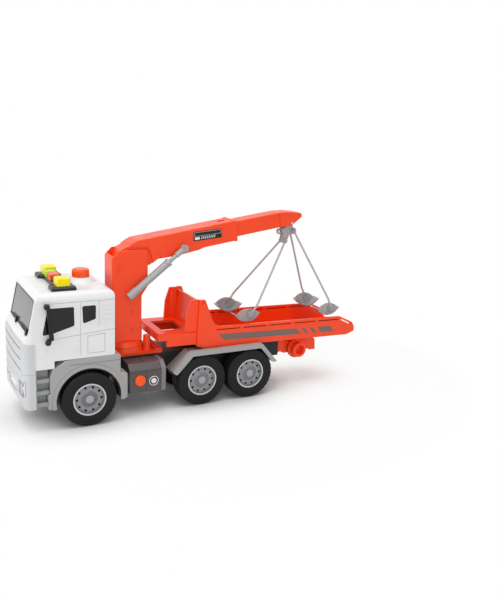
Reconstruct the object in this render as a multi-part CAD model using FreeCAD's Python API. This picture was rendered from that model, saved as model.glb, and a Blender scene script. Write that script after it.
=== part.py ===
"""Toy tow truck with a slewing crane and a tipping bed, as separate pieces.

Frame: +X is the way the truck drives, +Y its left side, +Z up, in millimetres.
The origin is on the floor, below the middle of the truck's bounding box.
Places along the truck are given as a distance behind the front axle, so d = 0 is
the front axle and d grows towards the tail.
"""
import FreeCAD, Part
import math
import os

os.makedirs("parts", exist_ok=True)

# Overall size
FRONT_OVERHANG = 70.0        # front axle to the nose
TAIL_REACH = 357.0           # front axle to the tail of the bed
LENGTH = FRONT_OVERHANG + TAIL_REACH
FRONT_AXLE_X = LENGTH / 2 - FRONT_OVERHANG

# Fits
RUN_CLEAR = 0.08             # radial running clearance of a shaft in its hole
SEAT = 0.3                   # gap between pieces that move past each other
JOIN = 0.2                   # gap between fixed pieces that stand side by side
GROOVE = 0.5                 # width and depth of a moulded line

# Wheels
TYRE_D = 61.0
TYRE_W = 20.0
TYRE_EDGE_R = 3.0
RIM_D = 36.2
RIM_WALL = 1.6
RIM_INSET = 0.6              # rim's lip below the tyre's side
RIM_DISH = 3.2               # rim's face below the tyre's side
RIM_FACE_T = 2.2
RIM_HOLES = 10
RIM_HOLE_D = 2.8
RIM_HOLE_RING = 13.4         # radius of the ring of holes
HUB_D = 17.0
HUB_CAP_D = 9.5
NUT_D = 2.2
NUT_RING = 7.2
AXLE_D = 5.0
MID_AXLE_D = 136.7           # front axle to middle axle
REAR_AXLE_D = 200.5          # front axle to rear axle
FRONT_TYRE_OUT = 52.2        # centre line to the outside of a front tyre
REAR_TYRE_OUT = 43.5

# Chassis
CHASSIS_HALF_W = 20.0
CHASSIS_TOP = 63.0
CHASSIS_DEEP = 22.0
CHASSIS_WALL = 2.5
CHASSIS_FRONT_D = -50.0
CHASSIS_BACK_D = 252.0
HANGER_LEN = 22.0            # axle hanger, along the truck
HANGER_BOTTOM = 23.0
BED_PAD_D = 149.0            # pads that the bed's front rests on
BED_PAD_LEN = 6.0

# Cab
CAB_HALF_W = 49.5
FASCIA_SKIN = 2.0            # how far grille and bumper stand out from the cab
NOSE_BOW = 1.8               # how far the nose bows out at the centre line
CAB_NOSE_D = -FRONT_OVERHANG + FASCIA_SKIN + NOSE_BOW
CAB_BACK_D = 28.3
CAB_TOP = 150.0
CAB_SILL = 70.0
CAB_ARCH_TOP = 78.0
CAB_WALL = 2.0
CAB_CORNER_R = 9.0
ROOF_SIDE_R = 9.0
ROOF_FRONT_R = 8.0
ROOF_BACK_R = 6.0
GUTTER_Z = 139.5
BELT_Z = 107.0               # lower edge of the windscreen
SCREEN_TOP_Z = 143.5
SCREEN_BACK = 5.8            # how far the screen's foot lies behind the nose
SCREEN_RAKE = 8.0            # how far the screen's top lies behind its foot
SCREEN_HALF_W = CAB_HALF_W - 4.5
WINDOW_R = 2.0
WINDOW_RIM = 1.5
RIM_PROUD = 0.45
PANE = 1.2                   # thickness of a window pane
DOOR_SEAM_D = -9.0
LOUVRES = 5
LOUVRE_PITCH = 4.9
LOUVRE_TALL = 2.4
MIRROR_OUT = 58.0
MIRROR_BALL_R = 3.2
BUTTON_D = 5.4               # roof button behind the front axle
BUTTON_R = 9.4
BUTTON_TALL = 8.8
BUTTON_SEAT = 5.2            # height of the mound under the roof button
LIGHT_HALF_W = CAB_HALF_W - ROOF_SIDE_R
LIGHT_FRONT_D = -35.7
LIGHT_BACK_D = -9.7
LIGHT_BASE_T = 4.5
LIGHT_SLOPE = 2.0            # bevel round the light bar's base
LENS_FRONT_D = -29.8
LENS_BACK_D = -15.4
LENS_TALL = 8.3
LENS_INNER = 22.5            # inner side of the tall lenses
LENS_LOW = 6.3
LOW_LENS_BACK_D = -19.0
GREEN_Y = (-20.5, -8.5)
ORANGE_Y = (-6.0, 8.5)

# Grille and bumper
FASCIA_TOP = 98.0
FASCIA_FOOT = 66.0
FASCIA_T = 3.2
FASCIA_CORNER_R = 8.0
GRILLE_TONGUE = (37.5, 40.5, 59.0)   # half widths at its foot and root, height of its foot
BUMPER_FOOT = 27.0
BUMPER_FOOT_R = 7.0          # the bumper's foot sweeps in under the nose
FASCIA_SIDE_D = -56.0        # where grille and bumper end on the cab's sides
GRILLE_GROOVES = (68.0, 79.5, 91.0)
GRILLE_HALF_W = 40.0
LAMP_Y = (29.0, 47.0)
LAMP_Z = (41.0, 57.0)
LAMP_DEEP = 1.4
PLATE_HALF_W = 20.0
PLATE_Z = (38.0, 49.0)
SLOT_D = -66.9               # upright slot on the bumper's corner
SLOT_Z = (42.5, 58.5)

# Arch pieces over the front wheels, and the steps before them
ARCH_R = 35.5
ARCH_LIP = 4.0
FENDER_OUT = 50.8
FENDER_DEEP = 17.0
FENDER_FRONT_D = -41.5
FENDER_TOE = 2.0             # how far the fender's foot reaches ahead of it
FENDER_TOE_TOP = 42.0
FENDER_STEP_D = 35.0
FENDER_BACK_D = 43.0
FENDER_FOOT = 25.4
FENDER_EDGE_R = 1.5
STEP_TREADS = (59.2, 46.1, 32.9)
STEP_RISE = 4.5
STEP_RECESS = 5.0

# Boxes beside the chassis
BOX_FRONT_D = 46.6
BOX_BACK_D = 84.0
BOX_OUT = 46.0
BOX_FOOT = 27.0
BOX_TOP = 60.5
BOX_CAP_T = 5.0
SOUND_BUTTON = (58.4, 42.5, 6.2)

# Guards over the rear wheels
GUARD_IN = CHASSIS_HALF_W
GUARD_STRIP_IN = 38.2        # inside of the raised strip, beside the bed
GUARD_OUT = 45.0
GUARD_UNDER = 62.1
GUARD_TOP = 67.8
GUARD_WEB_TOP = 64.4
GUARD_FOOT = 42.3

# Crane
MAST_D = 55.75               # front axle to the slew axis
MAST_HALF_L = 15.75
MAST_HALF_W = 14.0
MAST_WALL = 2.2
MAST_EDGE_R = 1.4
RING_R = 22.0
BASE_FRONT_D = MAST_D - 25.75
BASE_BACK_D = MAST_D + 39.95
BASE_PLATE_T = 3.5
BASE_RING_T = 6.0
FOOT_RING_T = 6.0
POST_RUN = 0.86              # slew stops on the base plate, clear of the mast's foot
POST_Y = 14.2
POST_R = 4.2
POST_TOP = 85.0
SPIGOT_R = 8.0
HEAD_FRONT_D = MAST_D - 19.25
HEAD_BACK_D = MAST_D + 22.75
HEAD_FOOT_Z = 140.5
HEAD_TOP_Z = 184.5
COLUMN_TOP_Z = 132.5
CHEEK_T = 1.8
BOOM_PIVOT_D = HEAD_FRONT_D + 6.9
BOOM_PIVOT_Z = 165.0
BOOM_PIN_R = 2.5
BOOM_REST = 8.9              # degrees that the boom rises at rest
BOOM_ROOT_HALF_W = 11.7
BOOM_DEEP = 24.0
BOOM_TOP_W = 25.9            # boom's top above its pivot, square to the boom
BOOM_END_U = 149.5           # pivot to the end of the outer boom
BOOM_SWEEP_R = 41.0          # the wide boom stays outside this radius
BOOM_EDGE_R = 1.2
BOOM_TOP_T = 1.6
BOOM_FLOOR_T = 3.4
LATCH_U = (132.0, 141.0)     # slot in the outer boom's top
LATCH_HALF_W = 3.5
INNER_HALF_W = 10.5
INNER_ROOT_U = 100.0
INNER_END_U = 211.0
NOSE_END_U = 243.5
PIN_R = 1.6

# Cylinder beside the mast
RAM_Y = 18.4
RAM_FOOT_D = MAST_D + 2.55
RAM_FOOT_Z = BOOM_PIVOT_Z - 30.0
RAM_EYE_D = BOOM_PIVOT_D + 77.1
RAM_EYE_Z = BOOM_PIVOT_Z + 19.5
RAM_BOSS_R = 6.0
RAM_BOSS_T = 1.6
RAM_PIN_OUT = 1.2            # how far the pins reach past the cylinder's centre line
BARREL_R = 4.2
BARREL_CAP_R = 4.8
BARREL_CAP_LEN = 12.0
COLLAR_R = 4.7
COLLAR_LEN = 3.5
ROD_R = 2.4
ROD_SHOWS = 10.5             # bare rod between the barrel and the rod's head
ROD_HEAD_R = 3.2
ROD_HEAD_LEN = 13.0
ROD_EYE_R = 4.2
ROD_EYE_CLEAR = 0.45         # radial clearance of the rod's eye on the boom's pin

# Hook block, slings and wheel trays
HOOK_PIN_D = BOOM_PIVOT_D + 224.6
HOOK_PIN_Z = BOOM_PIVOT_Z + 43.0
HOOK_HALF_W = 4.0
HOOK_SLOT_R = 20.4           # room round the head pin for the hook block to stay plumb
FRONT_EYE = (HOOK_PIN_D - 5.5, HOOK_PIN_Z - 23.4)
REAR_EYE = (HOOK_PIN_D + 6.5, HOOK_PIN_Z - 11.0)
FRONT_EYE_R = 3.2
REAR_EYE_R = 4.0
EYE_PIN_R = 1.2
EYE_PIN_OUT = 3.2            # how far the eye pins stand out of the block
EYE_HEAD_R = 2.2
EYE_HEAD_T = 0.8
CLAW = (HOOK_PIN_D - 11.5, HOOK_PIN_Z - 11.4)
CLAW_R = 3.8
CLAW_WIRE = 1.5
SLING_R = 1.25
SLING_RING_T = 2.0
SLING_BEND_R = SLING_R + 0.1  # ball at a sling's bend
SLING_KNEE = 0.14            # share of a sling, from its foot, that stands upright
TRAY_HALF_L = 17.0
TRAY_T = 1.6
TRAY_W = 13.0
TRAY_DEEP = 9.0              # tray's lowest point below its boss
TRAY_BRIM = 0.5              # tray's brim above its boss
TRAY_BOSS_BACK = 4.0         # boss behind the middle of the tray
TRAY_CROWN = 6.8             # top of the side plate above the boss
TRAY_CROWN_HALF = 14.1
TRAY_HUB_R = 4.8
TRAY_RING_R = 5.8            # moulded ring round the boss
TRAY_PIN_R = 1.4
TRAY_HEAD_R = 2.7
TRAY_OUT_Y = 30.0
FRONT_BOSS = (HOOK_PIN_D - 63.7, HOOK_PIN_Z - 106.1)
REAR_BOSS = (HOOK_PIN_D + 54.3, HOOK_PIN_Z - 108.6)

# Bed
BED_LEAN = 1.2               # degrees that the bed hangs tail down at rest
BED_PIVOT_D = CHASSIS_BACK_D + 25.5
BED_PIVOT_Z = 48.0
BED_HALF_W = 37.0
BED_WALL = 3.0
BED_BOTTOM = 64.8
BED_TOP = 90.1
BED_FLOOR_T = 4.0
BED_NOSE_D = 131.0
BED_POST_BACK_D = BED_NOSE_D + 8.0
BED_RAIL_START_D = BED_NOSE_D + 22.0
BED_RAIL_END_D = 332.0
BED_EDGE_R = 0.8
TAIL_LIP_TOP = BED_BOTTOM + 10.0
BED_TAIL_D = (BED_PIVOT_D + (TAIL_REACH - BED_PIVOT_D) / math.cos(math.radians(BED_LEAN))
              - (TAIL_LIP_TOP - BED_PIVOT_Z) * math.tan(math.radians(BED_LEAN)))
RAIL_SLOTS = 5
RAIL_SLOT_GAP = 4.5
RAIL_SLOT_TALL = 1.3
RAIL_SLOT_DROP = 3.0         # slot's top below the rail's top
DECK_FRONT_D = 82.8
DECK_TOP = 85.8
DECK_BAND = 8.3
DECK_HALF_W = 34.5
DECK_LIP = 1.0
DECK_SKIRT_D = 94.0
DECK_HOLE = (93.5, 121.8, 19.5)
HEADBOARD_D = BED_NOSE_D - 2.0
HEADBOARD_TOP = 123.5
HEADBOARD_T = 2.6
HEADBOARD_LEAN = 3.0         # board's top behind its foot
POST_HOLE_R = 1.6
CRADLE_HALF_L = 9.0
CRADLE_HALF_W = 12.0
BRACKET_Y = (16.0, 19.0)
KNOB_SHAFT_R = 4.0
KNOB_DISC_R = 12.5
KNOB_TUBE_R = 9.2
KNOB_BORE_R = 6.3
KNOB_OUT = 32.0

V = FreeCAD.Vector


def at(d):
    """Position along +X of a place d millimetres behind the front axle."""
    return FRONT_AXLE_X - d


def face(points, place):
    """Flat face of an outline. An entry of four numbers is an arc through its first pair."""
    edges = []
    last = points[0]
    for entry in list(points[1:]) + [points[0]]:
        start = place(last[-2], last[-1])
        end = place(entry[-2], entry[-1])
        if len(entry) == 4:
            edges.append(Part.Arc(start, place(entry[0], entry[1]), end).toShape())
        elif (end - start).Length > 1e-6:
            edges.append(Part.makeLine(start, end))
        last = entry
    return Part.Face(Part.Wire(edges))


def rounded(points, radius):
    """Outline with arcs at its corners; radius is one number, or one for each corner."""
    radii = radius if isinstance(radius, (list, tuple)) else [radius] * len(points)
    out = []
    for i, (x, y) in enumerate(points):
        if radii[i] == 0:
            out.append((x, y))
            continue
        before = points[i - 1]
        after = points[(i + 1) % len(points)]
        ax, ay = before[0] - x, before[1] - y
        bx, by = after[0] - x, after[1] - y
        la, lb = math.hypot(ax, ay), math.hypot(bx, by)
        ax, ay, bx, by = ax / la, ay / la, bx / lb, by / lb
        half = math.acos(max(-1.0, min(1.0, ax * bx + ay * by))) / 2
        reach = radii[i] / math.tan(half)
        mx, my = ax + bx, ay + by
        size = math.hypot(mx, my)
        sag = radii[i] / math.sin(half) - radii[i]
        out.append((x + ax * reach, y + ay * reach))
        out.append((x + mx / size * sag, y + my / size * sag, x + bx * reach, y + by * reach))
    return out


def box(d0, d1, y0, y1, z0, z1):
    """Block between two distances behind the front axle."""
    return Part.makeBox(d1 - d0, y1 - y0, z1 - z0, V(at(d1), y0, z0))


def side_plate(points, y0, y1):
    """Prism of an outline of (d, z) points, from y0 to y1."""
    return face(points, lambda d, z: V(at(d), y0, z)).extrude(V(0, y1 - y0, 0))


def plan_plate(points, z0, z1):
    """Prism of an outline of (d, y) points, from z0 to z1."""
    return face(points, lambda d, y: V(at(d), y, z0)).extrude(V(0, 0, z1 - z0))


def cross_plate(points, d0, d1):
    """Prism of an outline of (y, z) points, from d0 back to d1."""
    return face(points, lambda y, z: V(at(d1), y, z)).extrude(V(d1 - d0, 0, 0))


def soft_plate(points, y0, y1, radius, sides=(0, 1)):
    """Side plate whose outer edges are rounded on the chosen sides."""
    solid = side_plate(points, y0, y1)
    chosen = [y for k, y in enumerate((y0, y1)) if k in sides]
    edges = [e for e in solid.Edges
             if any(all(abs(v.Y - y) < 1e-6 for v in e.Vertexes) for y in chosen)]
    return solid.makeFillet(radius, edges)


def rod_y(d, z, radius, y0, y1):
    """Round bar across the truck."""
    return Part.makeCylinder(radius, y1 - y0, V(at(d), y0, z), V(0, 1, 0))


def rod_z(d, y, radius, z0, z1):
    """Upright round bar."""
    return Part.makeCylinder(radius, z1 - z0, V(at(d), y, z0), V(0, 0, 1))


def ball(d, y, z, radius):
    """Sphere."""
    return Part.makeSphere(radius, V(at(d), y, z))


def rod_between(start, end, radius):
    """Round bar between two (d, y, z) points."""
    a = V(at(start[0]), start[1], start[2])
    b = V(at(end[0]), end[1], end[2])
    return Part.makeCylinder(radius, (b - a).Length, a, b - a)


def join(shapes):
    """One solid made of shapes that touch or overlap."""
    body = shapes[0].fuse(list(shapes[1:])).removeSplitter()
    return body.Solids[0] if len(body.Solids) == 1 else body


def cut_all(shape, tools):
    """Shape less a list of tools."""
    return shape.cut(Part.makeCompound(list(tools)))


def mirrored(shape):
    """The same piece on the truck's other side."""
    return shape.mirror(V(0, 0, 0), V(0, 1, 0))


def both(shapes):
    """Shapes and their mirror images."""
    return list(shapes) + [mirrored(s) for s in shapes]


def pair(shape):
    """A piece and its mirror image, as one node."""
    return Part.makeCompound(both([shape]))


def turned(shape, d, z, degrees):
    """Turn a shape about the cross axis at (d, z); positive raises the rear end."""
    copy = shape.copy()
    copy.rotate(V(at(d), 0, z), V(0, 1, 0), degrees)
    return copy


def rimmed(ring, amount):
    """Flat face grown outwards by amount, or shrunk where it is negative."""
    return ring.makeOffset2D(amount)


def save(name, shape):
    """Write one node."""
    shape.exportStep("parts/" + name + ".step")


def wheel_set(name, axle_d, tyre_out, nuts):
    """Axle, two rims and two tyres that turn as one body."""
    z = TYRE_D / 2
    inner = tyre_out - TYRE_W
    rim_r = RIM_D / 2
    tyre = rod_y(axle_d, z, z, inner, tyre_out).cut(rod_y(axle_d, z, rim_r, inner, tyre_out))
    shoulder = [e for e in tyre.Edges if abs(e.Length - math.pi * TYRE_D) < 1e-3]
    tyre = tyre.makeFillet(TYRE_EDGE_R, shoulder)
    lip_y = tyre_out - RIM_INSET
    face_y = tyre_out - RIM_DISH
    rim = rod_y(axle_d, z, rim_r, inner, lip_y)
    rim = cut_all(rim, [rod_y(axle_d, z, rim_r - RIM_WALL, face_y, lip_y),
                        rod_y(axle_d, z, rim_r - RIM_WALL, inner, face_y - RIM_FACE_T)])
    hub = rod_y(axle_d, z, AXLE_D / 2 + 3.0, inner, face_y)
    plate = Part.makeCone(HUB_D / 2 + 1.0, HUB_D / 2 - 0.6, 1.2, V(at(axle_d), face_y, z),
                          V(0, 1, 0))
    cap = rod_y(axle_d, z, HUB_CAP_D / 2, face_y, lip_y - 0.3)
    cap = cap.makeFillet(0.8, [e for e in cap.Edges
                               if all(abs(v.Y - lip_y + 0.3) < 1e-6 for v in e.Vertexes)])
    pieces = [rim, hub, plate, cap]
    for i in range(nuts):
        angle = 2 * math.pi * (i + 0.5) / nuts
        pieces.append(rod_y(axle_d + NUT_RING * math.cos(angle), z + NUT_RING * math.sin(angle),
                            NUT_D / 2, face_y, face_y + 1.9))
    rim = join(pieces)
    holes = []
    for i in range(RIM_HOLES):
        angle = 2 * math.pi * i / RIM_HOLES
        holes.append(rod_y(axle_d + RIM_HOLE_RING * math.cos(angle),
                           z + RIM_HOLE_RING * math.sin(angle), RIM_HOLE_D / 2, inner, lip_y))
    holes.append(rod_y(axle_d, z, AXLE_D / 2, inner - 1, face_y))
    save("axle_" + name, rod_y(axle_d, z, AXLE_D / 2, -face_y, face_y))
    save("rims_" + name, pair(cut_all(rim, holes)))
    save("tyres_" + name, pair(tyre))


def chassis():
    """Channel under the whole truck, with hangers bored for the axles."""
    z0 = CHASSIS_TOP - CHASSIS_DEEP
    w = CHASSIS_HALF_W
    axles = (0.0, MID_AXLE_D, REAR_AXLE_D)
    shell = box(CHASSIS_FRONT_D, CHASSIS_BACK_D, -w, w, z0, CHASSIS_TOP)
    hangers = [side_plate(rounded([(d - HANGER_LEN / 2, z0 + 1.0), (d + HANGER_LEN / 2, z0 + 1.0),
                                   (d + 6.0, HANGER_BOTTOM), (d - 6.0, HANGER_BOTTOM)],
                                  [0, 0, 3.0, 3.0]), -w, w) for d in axles]
    lean = math.tan(math.radians(BED_LEAN))
    pad_top = BED_BOTTOM + (BED_PIVOT_D - BED_PAD_D - BED_PAD_LEN) * lean - SEAT
    pad = box(BED_PAD_D, BED_PAD_D + BED_PAD_LEN, 10.0, w, CHASSIS_TOP - 1.0, pad_top)
    solid = join([shell] + hangers + both([pad]))
    t = CHASSIS_WALL
    inside = box(CHASSIS_FRONT_D + t, CHASSIS_BACK_D - t, -w + t, w - t, 0, CHASSIS_TOP - t)
    bores = [rod_y(d, TYRE_D / 2, AXLE_D / 2 + RUN_CLEAR, -w - 1, w + 1) for d in axles]
    spigot = rod_z(MAST_D, 0, SPIGOT_R + RUN_CLEAR, z0, CHASSIS_TOP + 1)
    save("chassis_frame", cut_all(solid, [inside, spigot] + bores))


def nose(offset, half_w, corner):
    """Plan outline of the nose, left to right: a shallow bow between rounded corners."""
    rise = NOSE_BOW * (1 - ((half_w - corner) / half_w) ** 2)
    d = CAB_NOSE_D + offset - rise
    peak = CAB_NOSE_D + offset - NOSE_BOW
    y = half_w - corner
    k = corner * (1 - math.sqrt(0.5))
    return [(d + corner, half_w), (d + k, half_w - k, d, y), (peak, 0.0, d, -y),
            (d + k, k - half_w, d + corner, -half_w)]


def cab_block(inset):
    """The cab's closed form, its faces moved in by inset."""
    w = CAB_HALF_W - inset
    back = CAB_BACK_D - inset
    top = CAB_TOP - inset
    low = CAB_SILL - inset
    front = CAB_NOSE_D - NOSE_BOW + inset
    foot = front + SCREEN_BACK
    side = side_plate(rounded([
        (front, low), (front, BELT_Z - 6), (foot, BELT_Z),
        (foot + SCREEN_RAKE, SCREEN_TOP_Z + 1.0), (foot + SCREEN_RAKE + 5.5, top),
        (back, top), (back, low)], [0, 2, 2, 4, 4, ROOF_BACK_R, 0]), -w, w)
    plan = plan_plate([(back, -w), (back, w)] + nose(inset, w, CAB_CORNER_R), low - 1, CAB_TOP)
    over = cross_plate(rounded([(-w, low - 1), (w, low - 1), (w, top), (-w, top)],
                               [0, 0, ROOF_SIDE_R, ROOF_SIDE_R]), front - 1, back + 1)
    return side.common(plan).common(over)


SIDE_WINDOWS = [
    [(-42.4, 135.0), (-15.3, 134.9), (-15.1, 114.3), (-37.4, 107.9), (-48.5, 106.4)],
    [(-7.0, 135.0), (7.8, 135.0), (7.7, 119.7), (-6.2, 115.6)],
]


def cab_lines():
    """Moulded lines of one side: door seams, a crease, a panel and the gutter."""
    y0, y1 = CAB_HALF_W - GROOVE, CAB_HALF_W + 1
    g = GROOVE
    lines = [box(DOOR_SEAM_D, DOOR_SEAM_D + g, y0, y1, 82.0, GUTTER_Z),
             box(10.8, 10.8 + g, y0, y1, 112.0, GUTTER_Z),
             box(-46.0, CAB_BACK_D + 1, y0, y1, GUTTER_Z, GUTTER_Z + g),
             side_plate([(-38.5, 101.4), (18.5, 106.3), (CAB_BACK_D + 1, 106.9),
                         (CAB_BACK_D + 1, 107.4), (18.5, 106.8), (-38.5, 101.9)], y0, y1)]
    outer = face([(-1.5, 82.5), (17.5, 82.5), (17.5, 103.5), (-1.5, 102.0)],
                 lambda d, z: V(at(d), y0, z))
    frame = outer.extrude(V(0, 2, 0)).cut(rimmed(outer, -g).extrude(V(0, 2, 0)))
    return lines + [frame]


def cab():
    """Hollow cab with its windows cut, and the panes that fill them."""
    w = CAB_HALF_W
    shell = cab_block(0.0).cut(cab_block(CAB_WALL))
    tools = [rod_y(0.0, TYRE_D / 2, ARCH_R + 3, -w - 5, w + 5),
             box(-36.5, CAB_BACK_D + 5, -w - 5, w + 5, CAB_SILL - 5, CAB_ARCH_TOP)]
    panes = []
    added = []
    for outline in SIDE_WINDOWS:
        ring = face(rounded(outline, WINDOW_R), lambda d, z: V(at(d), 0, z))
        hole = ring.extrude(V(0, 10, 0))
        hole.translate(V(0, w - CAB_WALL - 1, 0))
        rim = rimmed(ring, WINDOW_RIM).extrude(V(0, CAB_WALL + RIM_PROUD, 0))
        rim.translate(V(0, w - CAB_WALL, 0))
        added.append(rim)
        tools.append(hole)
        tools.append(mirrored(hole))
        pane = rimmed(ring, -0.15).extrude(V(0, PANE, 0))
        pane.translate(V(0, w - CAB_WALL + 0.2, 0))
        panes += both([pane])
    for i in range(LOUVRES):
        z = 115.5 + LOUVRE_PITCH * i
        added.append(box(13.0, 27.0, w - 0.5, w + 0.5, z, z + LOUVRE_TALL))
    added.append(soft_plate(rounded([(-16.5, 87.5), (-11.5, 87.9), (-11.5, 90.2), (-16.5, 89.8)],
                                    0.8), w - 0.5, w + 1.2, 0.5, (1,)))
    save("side_windows", Part.makeCompound(panes))
    half, foot, head = SCREEN_HALF_W, BELT_Z + 1.0, SCREEN_TOP_Z
    screen = face(rounded([(-half, foot), (half, foot), (half, head), (-half, head)], 3.0),
                  lambda y, z: V(at(-30.0), y, z))
    reach = V(60, 0, 0)
    skin = cab_block(0.3).cut(cab_block(0.3 + PANE))
    save("windscreen", skin.common(rimmed(screen, -0.15).extrude(reach)))
    tools.append(screen.extrude(reach))
    tools += both(cab_lines())
    mound = Part.makeCone(BUTTON_R + 7.0, BUTTON_R + 1.5, BUTTON_SEAT,
                          V(at(BUTTON_D), 0, CAB_TOP), V(0, 0, 1))
    inner = cab_block(CAB_WALL)
    floor = inner.common(box(CAB_NOSE_D - NOSE_BOW, CAB_BACK_D, -w, w,
                             CAB_ARCH_TOP, CAB_ARCH_TOP + CAB_WALL))
    rib = box(CHASSIS_FRONT_D + 2.0, CAB_BACK_D - CAB_WALL, CHASSIS_HALF_W - 3.0,
              CHASSIS_HALF_W, CHASSIS_TOP, CAB_ARCH_TOP + 1.0)
    shell = join([shell] + both(added))
    shell = cut_all(shell, tools)
    save("cab_shell", join([shell, mound, floor, rib, mirrored(rib)]))


def fascia():
    """Grooved grille over a bumper, both wrapped round the cab's corners."""
    w = CAB_HALF_W + 0.6
    inside = w - FASCIA_T
    outer = nose(-FASCIA_SKIN, w, FASCIA_CORNER_R)
    inner = nose(FASCIA_T - FASCIA_SKIN, inside, FASCIA_CORNER_R - FASCIA_T)
    blank = [(FASCIA_SIDE_D, inside), (FASCIA_SIDE_D, w)] + outer + [(FASCIA_SIDE_D, -w)]
    shell = plan_plate(blank + [(FASCIA_SIDE_D, -inside)], BUMPER_FOOT, FASCIA_TOP)
    hollow = plan_plate([(FASCIA_SIDE_D + 1, inside)] + inner + [(FASCIA_SIDE_D + 1, -inside)],
                        BUMPER_FOOT - 1, FASCIA_TOP + 1)
    shell = shell.cut(hollow)
    nose_d = -FRONT_OVERHANG
    y0, y1, foot = GRILLE_TONGUE

    def split(gap, edge):
        line = [(-w - 1, FASCIA_FOOT), (-y1 - gap, FASCIA_FOOT), (-y0 - gap, foot - gap),
                (y0 + gap, foot - gap), (y1 + gap, FASCIA_FOOT), (w + 1, FASCIA_FOOT)]
        line = [(y, z + (JOIN if gap == 0 and z == FASCIA_FOOT else 0)) for y, z in line]
        return cross_plate(line + [(w + 1, edge), (-w - 1, edge)], nose_d - 1, FASCIA_SIDE_D + 1)

    above = split(0, FASCIA_TOP)
    below = split(JOIN, BUMPER_FOOT)
    sweep = side_plate(rounded([(nose_d, BUMPER_FOOT), (nose_d, FASCIA_TOP),
                                (FASCIA_SIDE_D + 1, FASCIA_TOP), (FASCIA_SIDE_D + 1, BUMPER_FOOT)],
                               [BUMPER_FOOT_R, 0, 0, 0]), -w, w)
    grooves = []
    for z in GRILLE_GROOVES:
        ring = rounded([(-GRILLE_HALF_W, z), (GRILLE_HALF_W, z),
                        (GRILLE_HALF_W, z + 2.2), (-GRILLE_HALF_W, z + 2.2)], 1.0)
        grooves.append(cross_plate(ring, nose_d - 1, nose_d + NOSE_BOW * 0.35 + LAMP_DEEP))
    save("grille", cut_all(shell.common(above).cut(cab_block(0.0)), grooves))
    y0, y1 = LAMP_Y
    z0, z1 = LAMP_Z
    lamp = cross_plate(rounded([(y0, z0), (y1, z0), (y1, z1), (y0 + 2, z1)], 2.0),
                       nose_d - 1, nose_d + NOSE_BOW * 0.6 + LAMP_DEEP)
    plate = cross_plate(rounded([(-PLATE_HALF_W, PLATE_Z[0]), (PLATE_HALF_W, PLATE_Z[0]),
                                 (PLATE_HALF_W, PLATE_Z[1]), (-PLATE_HALF_W, PLATE_Z[1])], 2.0),
                        nose_d - 1, nose_d + LAMP_DEEP)
    slot = box(SLOT_D - 0.8, SLOT_D + 0.8, w - 3.6, w + 2, SLOT_Z[0], SLOT_Z[1])
    save("bumper", cut_all(shell.common(below).common(sweep), both([lamp, slot]) + [plate]))


def fenders():
    """Light grey arch pieces over the front wheels."""
    z = TYRE_D / 2
    outline = rounded([
        (FENDER_FRONT_D - FENDER_TOE, 24.0), (FENDER_FRONT_D - FENDER_TOE, FENDER_TOE_TOP - 0.5),
        (FENDER_FRONT_D, FENDER_TOE_TOP),
        (FENDER_FRONT_D, 60.0), (-38.0, 69.7), (-36.3, 69.8), (-24.7, 77.2), (-15.0, 77.8),
        (FENDER_STEP_D, 77.8), (FENDER_STEP_D, 57.0), (FENDER_BACK_D, 54.8),
        (FENDER_BACK_D, FENDER_FOOT), (FENDER_STEP_D - 6.0, FENDER_FOOT),
        (FENDER_STEP_D - 6.0, 24.0)],
        [2.0, 0, 0, 4.0, 0, 0, 5.0, 0, 2.5, 0, 2.0, 2.0, 0, 0])
    inner = FENDER_OUT - FENDER_DEEP
    body = soft_plate(outline, inner, FENDER_OUT - 0.8, FENDER_EDGE_R, (1,))
    lip = side_plate(outline, FENDER_OUT - 3.0, FENDER_OUT)
    lip = lip.common(rod_y(0.0, z, ARCH_R + ARCH_LIP, inner, FENDER_OUT))
    body = join([body, lip])
    tools = [rod_y(0.0, z, ARCH_R, 0, FENDER_OUT + 1),
             box(-33.8, 33.8, 0, FENDER_OUT + 1, 10, z - 4.0),
             box(-21.0, FENDER_STEP_D - 1.5, FENDER_OUT - 0.8 - GROOVE, FENDER_OUT + 1, 71.4, 71.9)]
    body = cut_all(body, tools)
    save("fender_left", body)
    save("fender_right", mirrored(body))


def steps():
    """Steps in a recess behind each of the bumper's corners."""
    front = FASCIA_SIDE_D + 0.3
    back = FENDER_FRONT_D - 0.3
    top, foot = CAB_SILL - 0.6, 26.6
    wall_y = CAB_HALF_W - 2.5 - STEP_RECESS
    pieces = [box(front, back, wall_y - 6.0, wall_y, foot, top)]
    for tread in STEP_TREADS:
        pieces.append(soft_plate(rounded([(front, tread), (back, tread), (back, tread - STEP_RISE),
                                          (front, tread - STEP_RISE)], 0.6),
                                 wall_y - 1.0, CAB_HALF_W - 1.5, 0.5, (1,)))
    pieces.append(box(front, front + 1.4, wall_y - 1.0, CAB_HALF_W - 2.5, foot, top))
    clear = box(FENDER_FRONT_D - FENDER_TOE - 0.3, 0, 0, CAB_HALF_W, foot - 1, FENDER_TOE_TOP + 0.5)
    save("steps", pair(join(pieces).cut(clear)))


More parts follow.
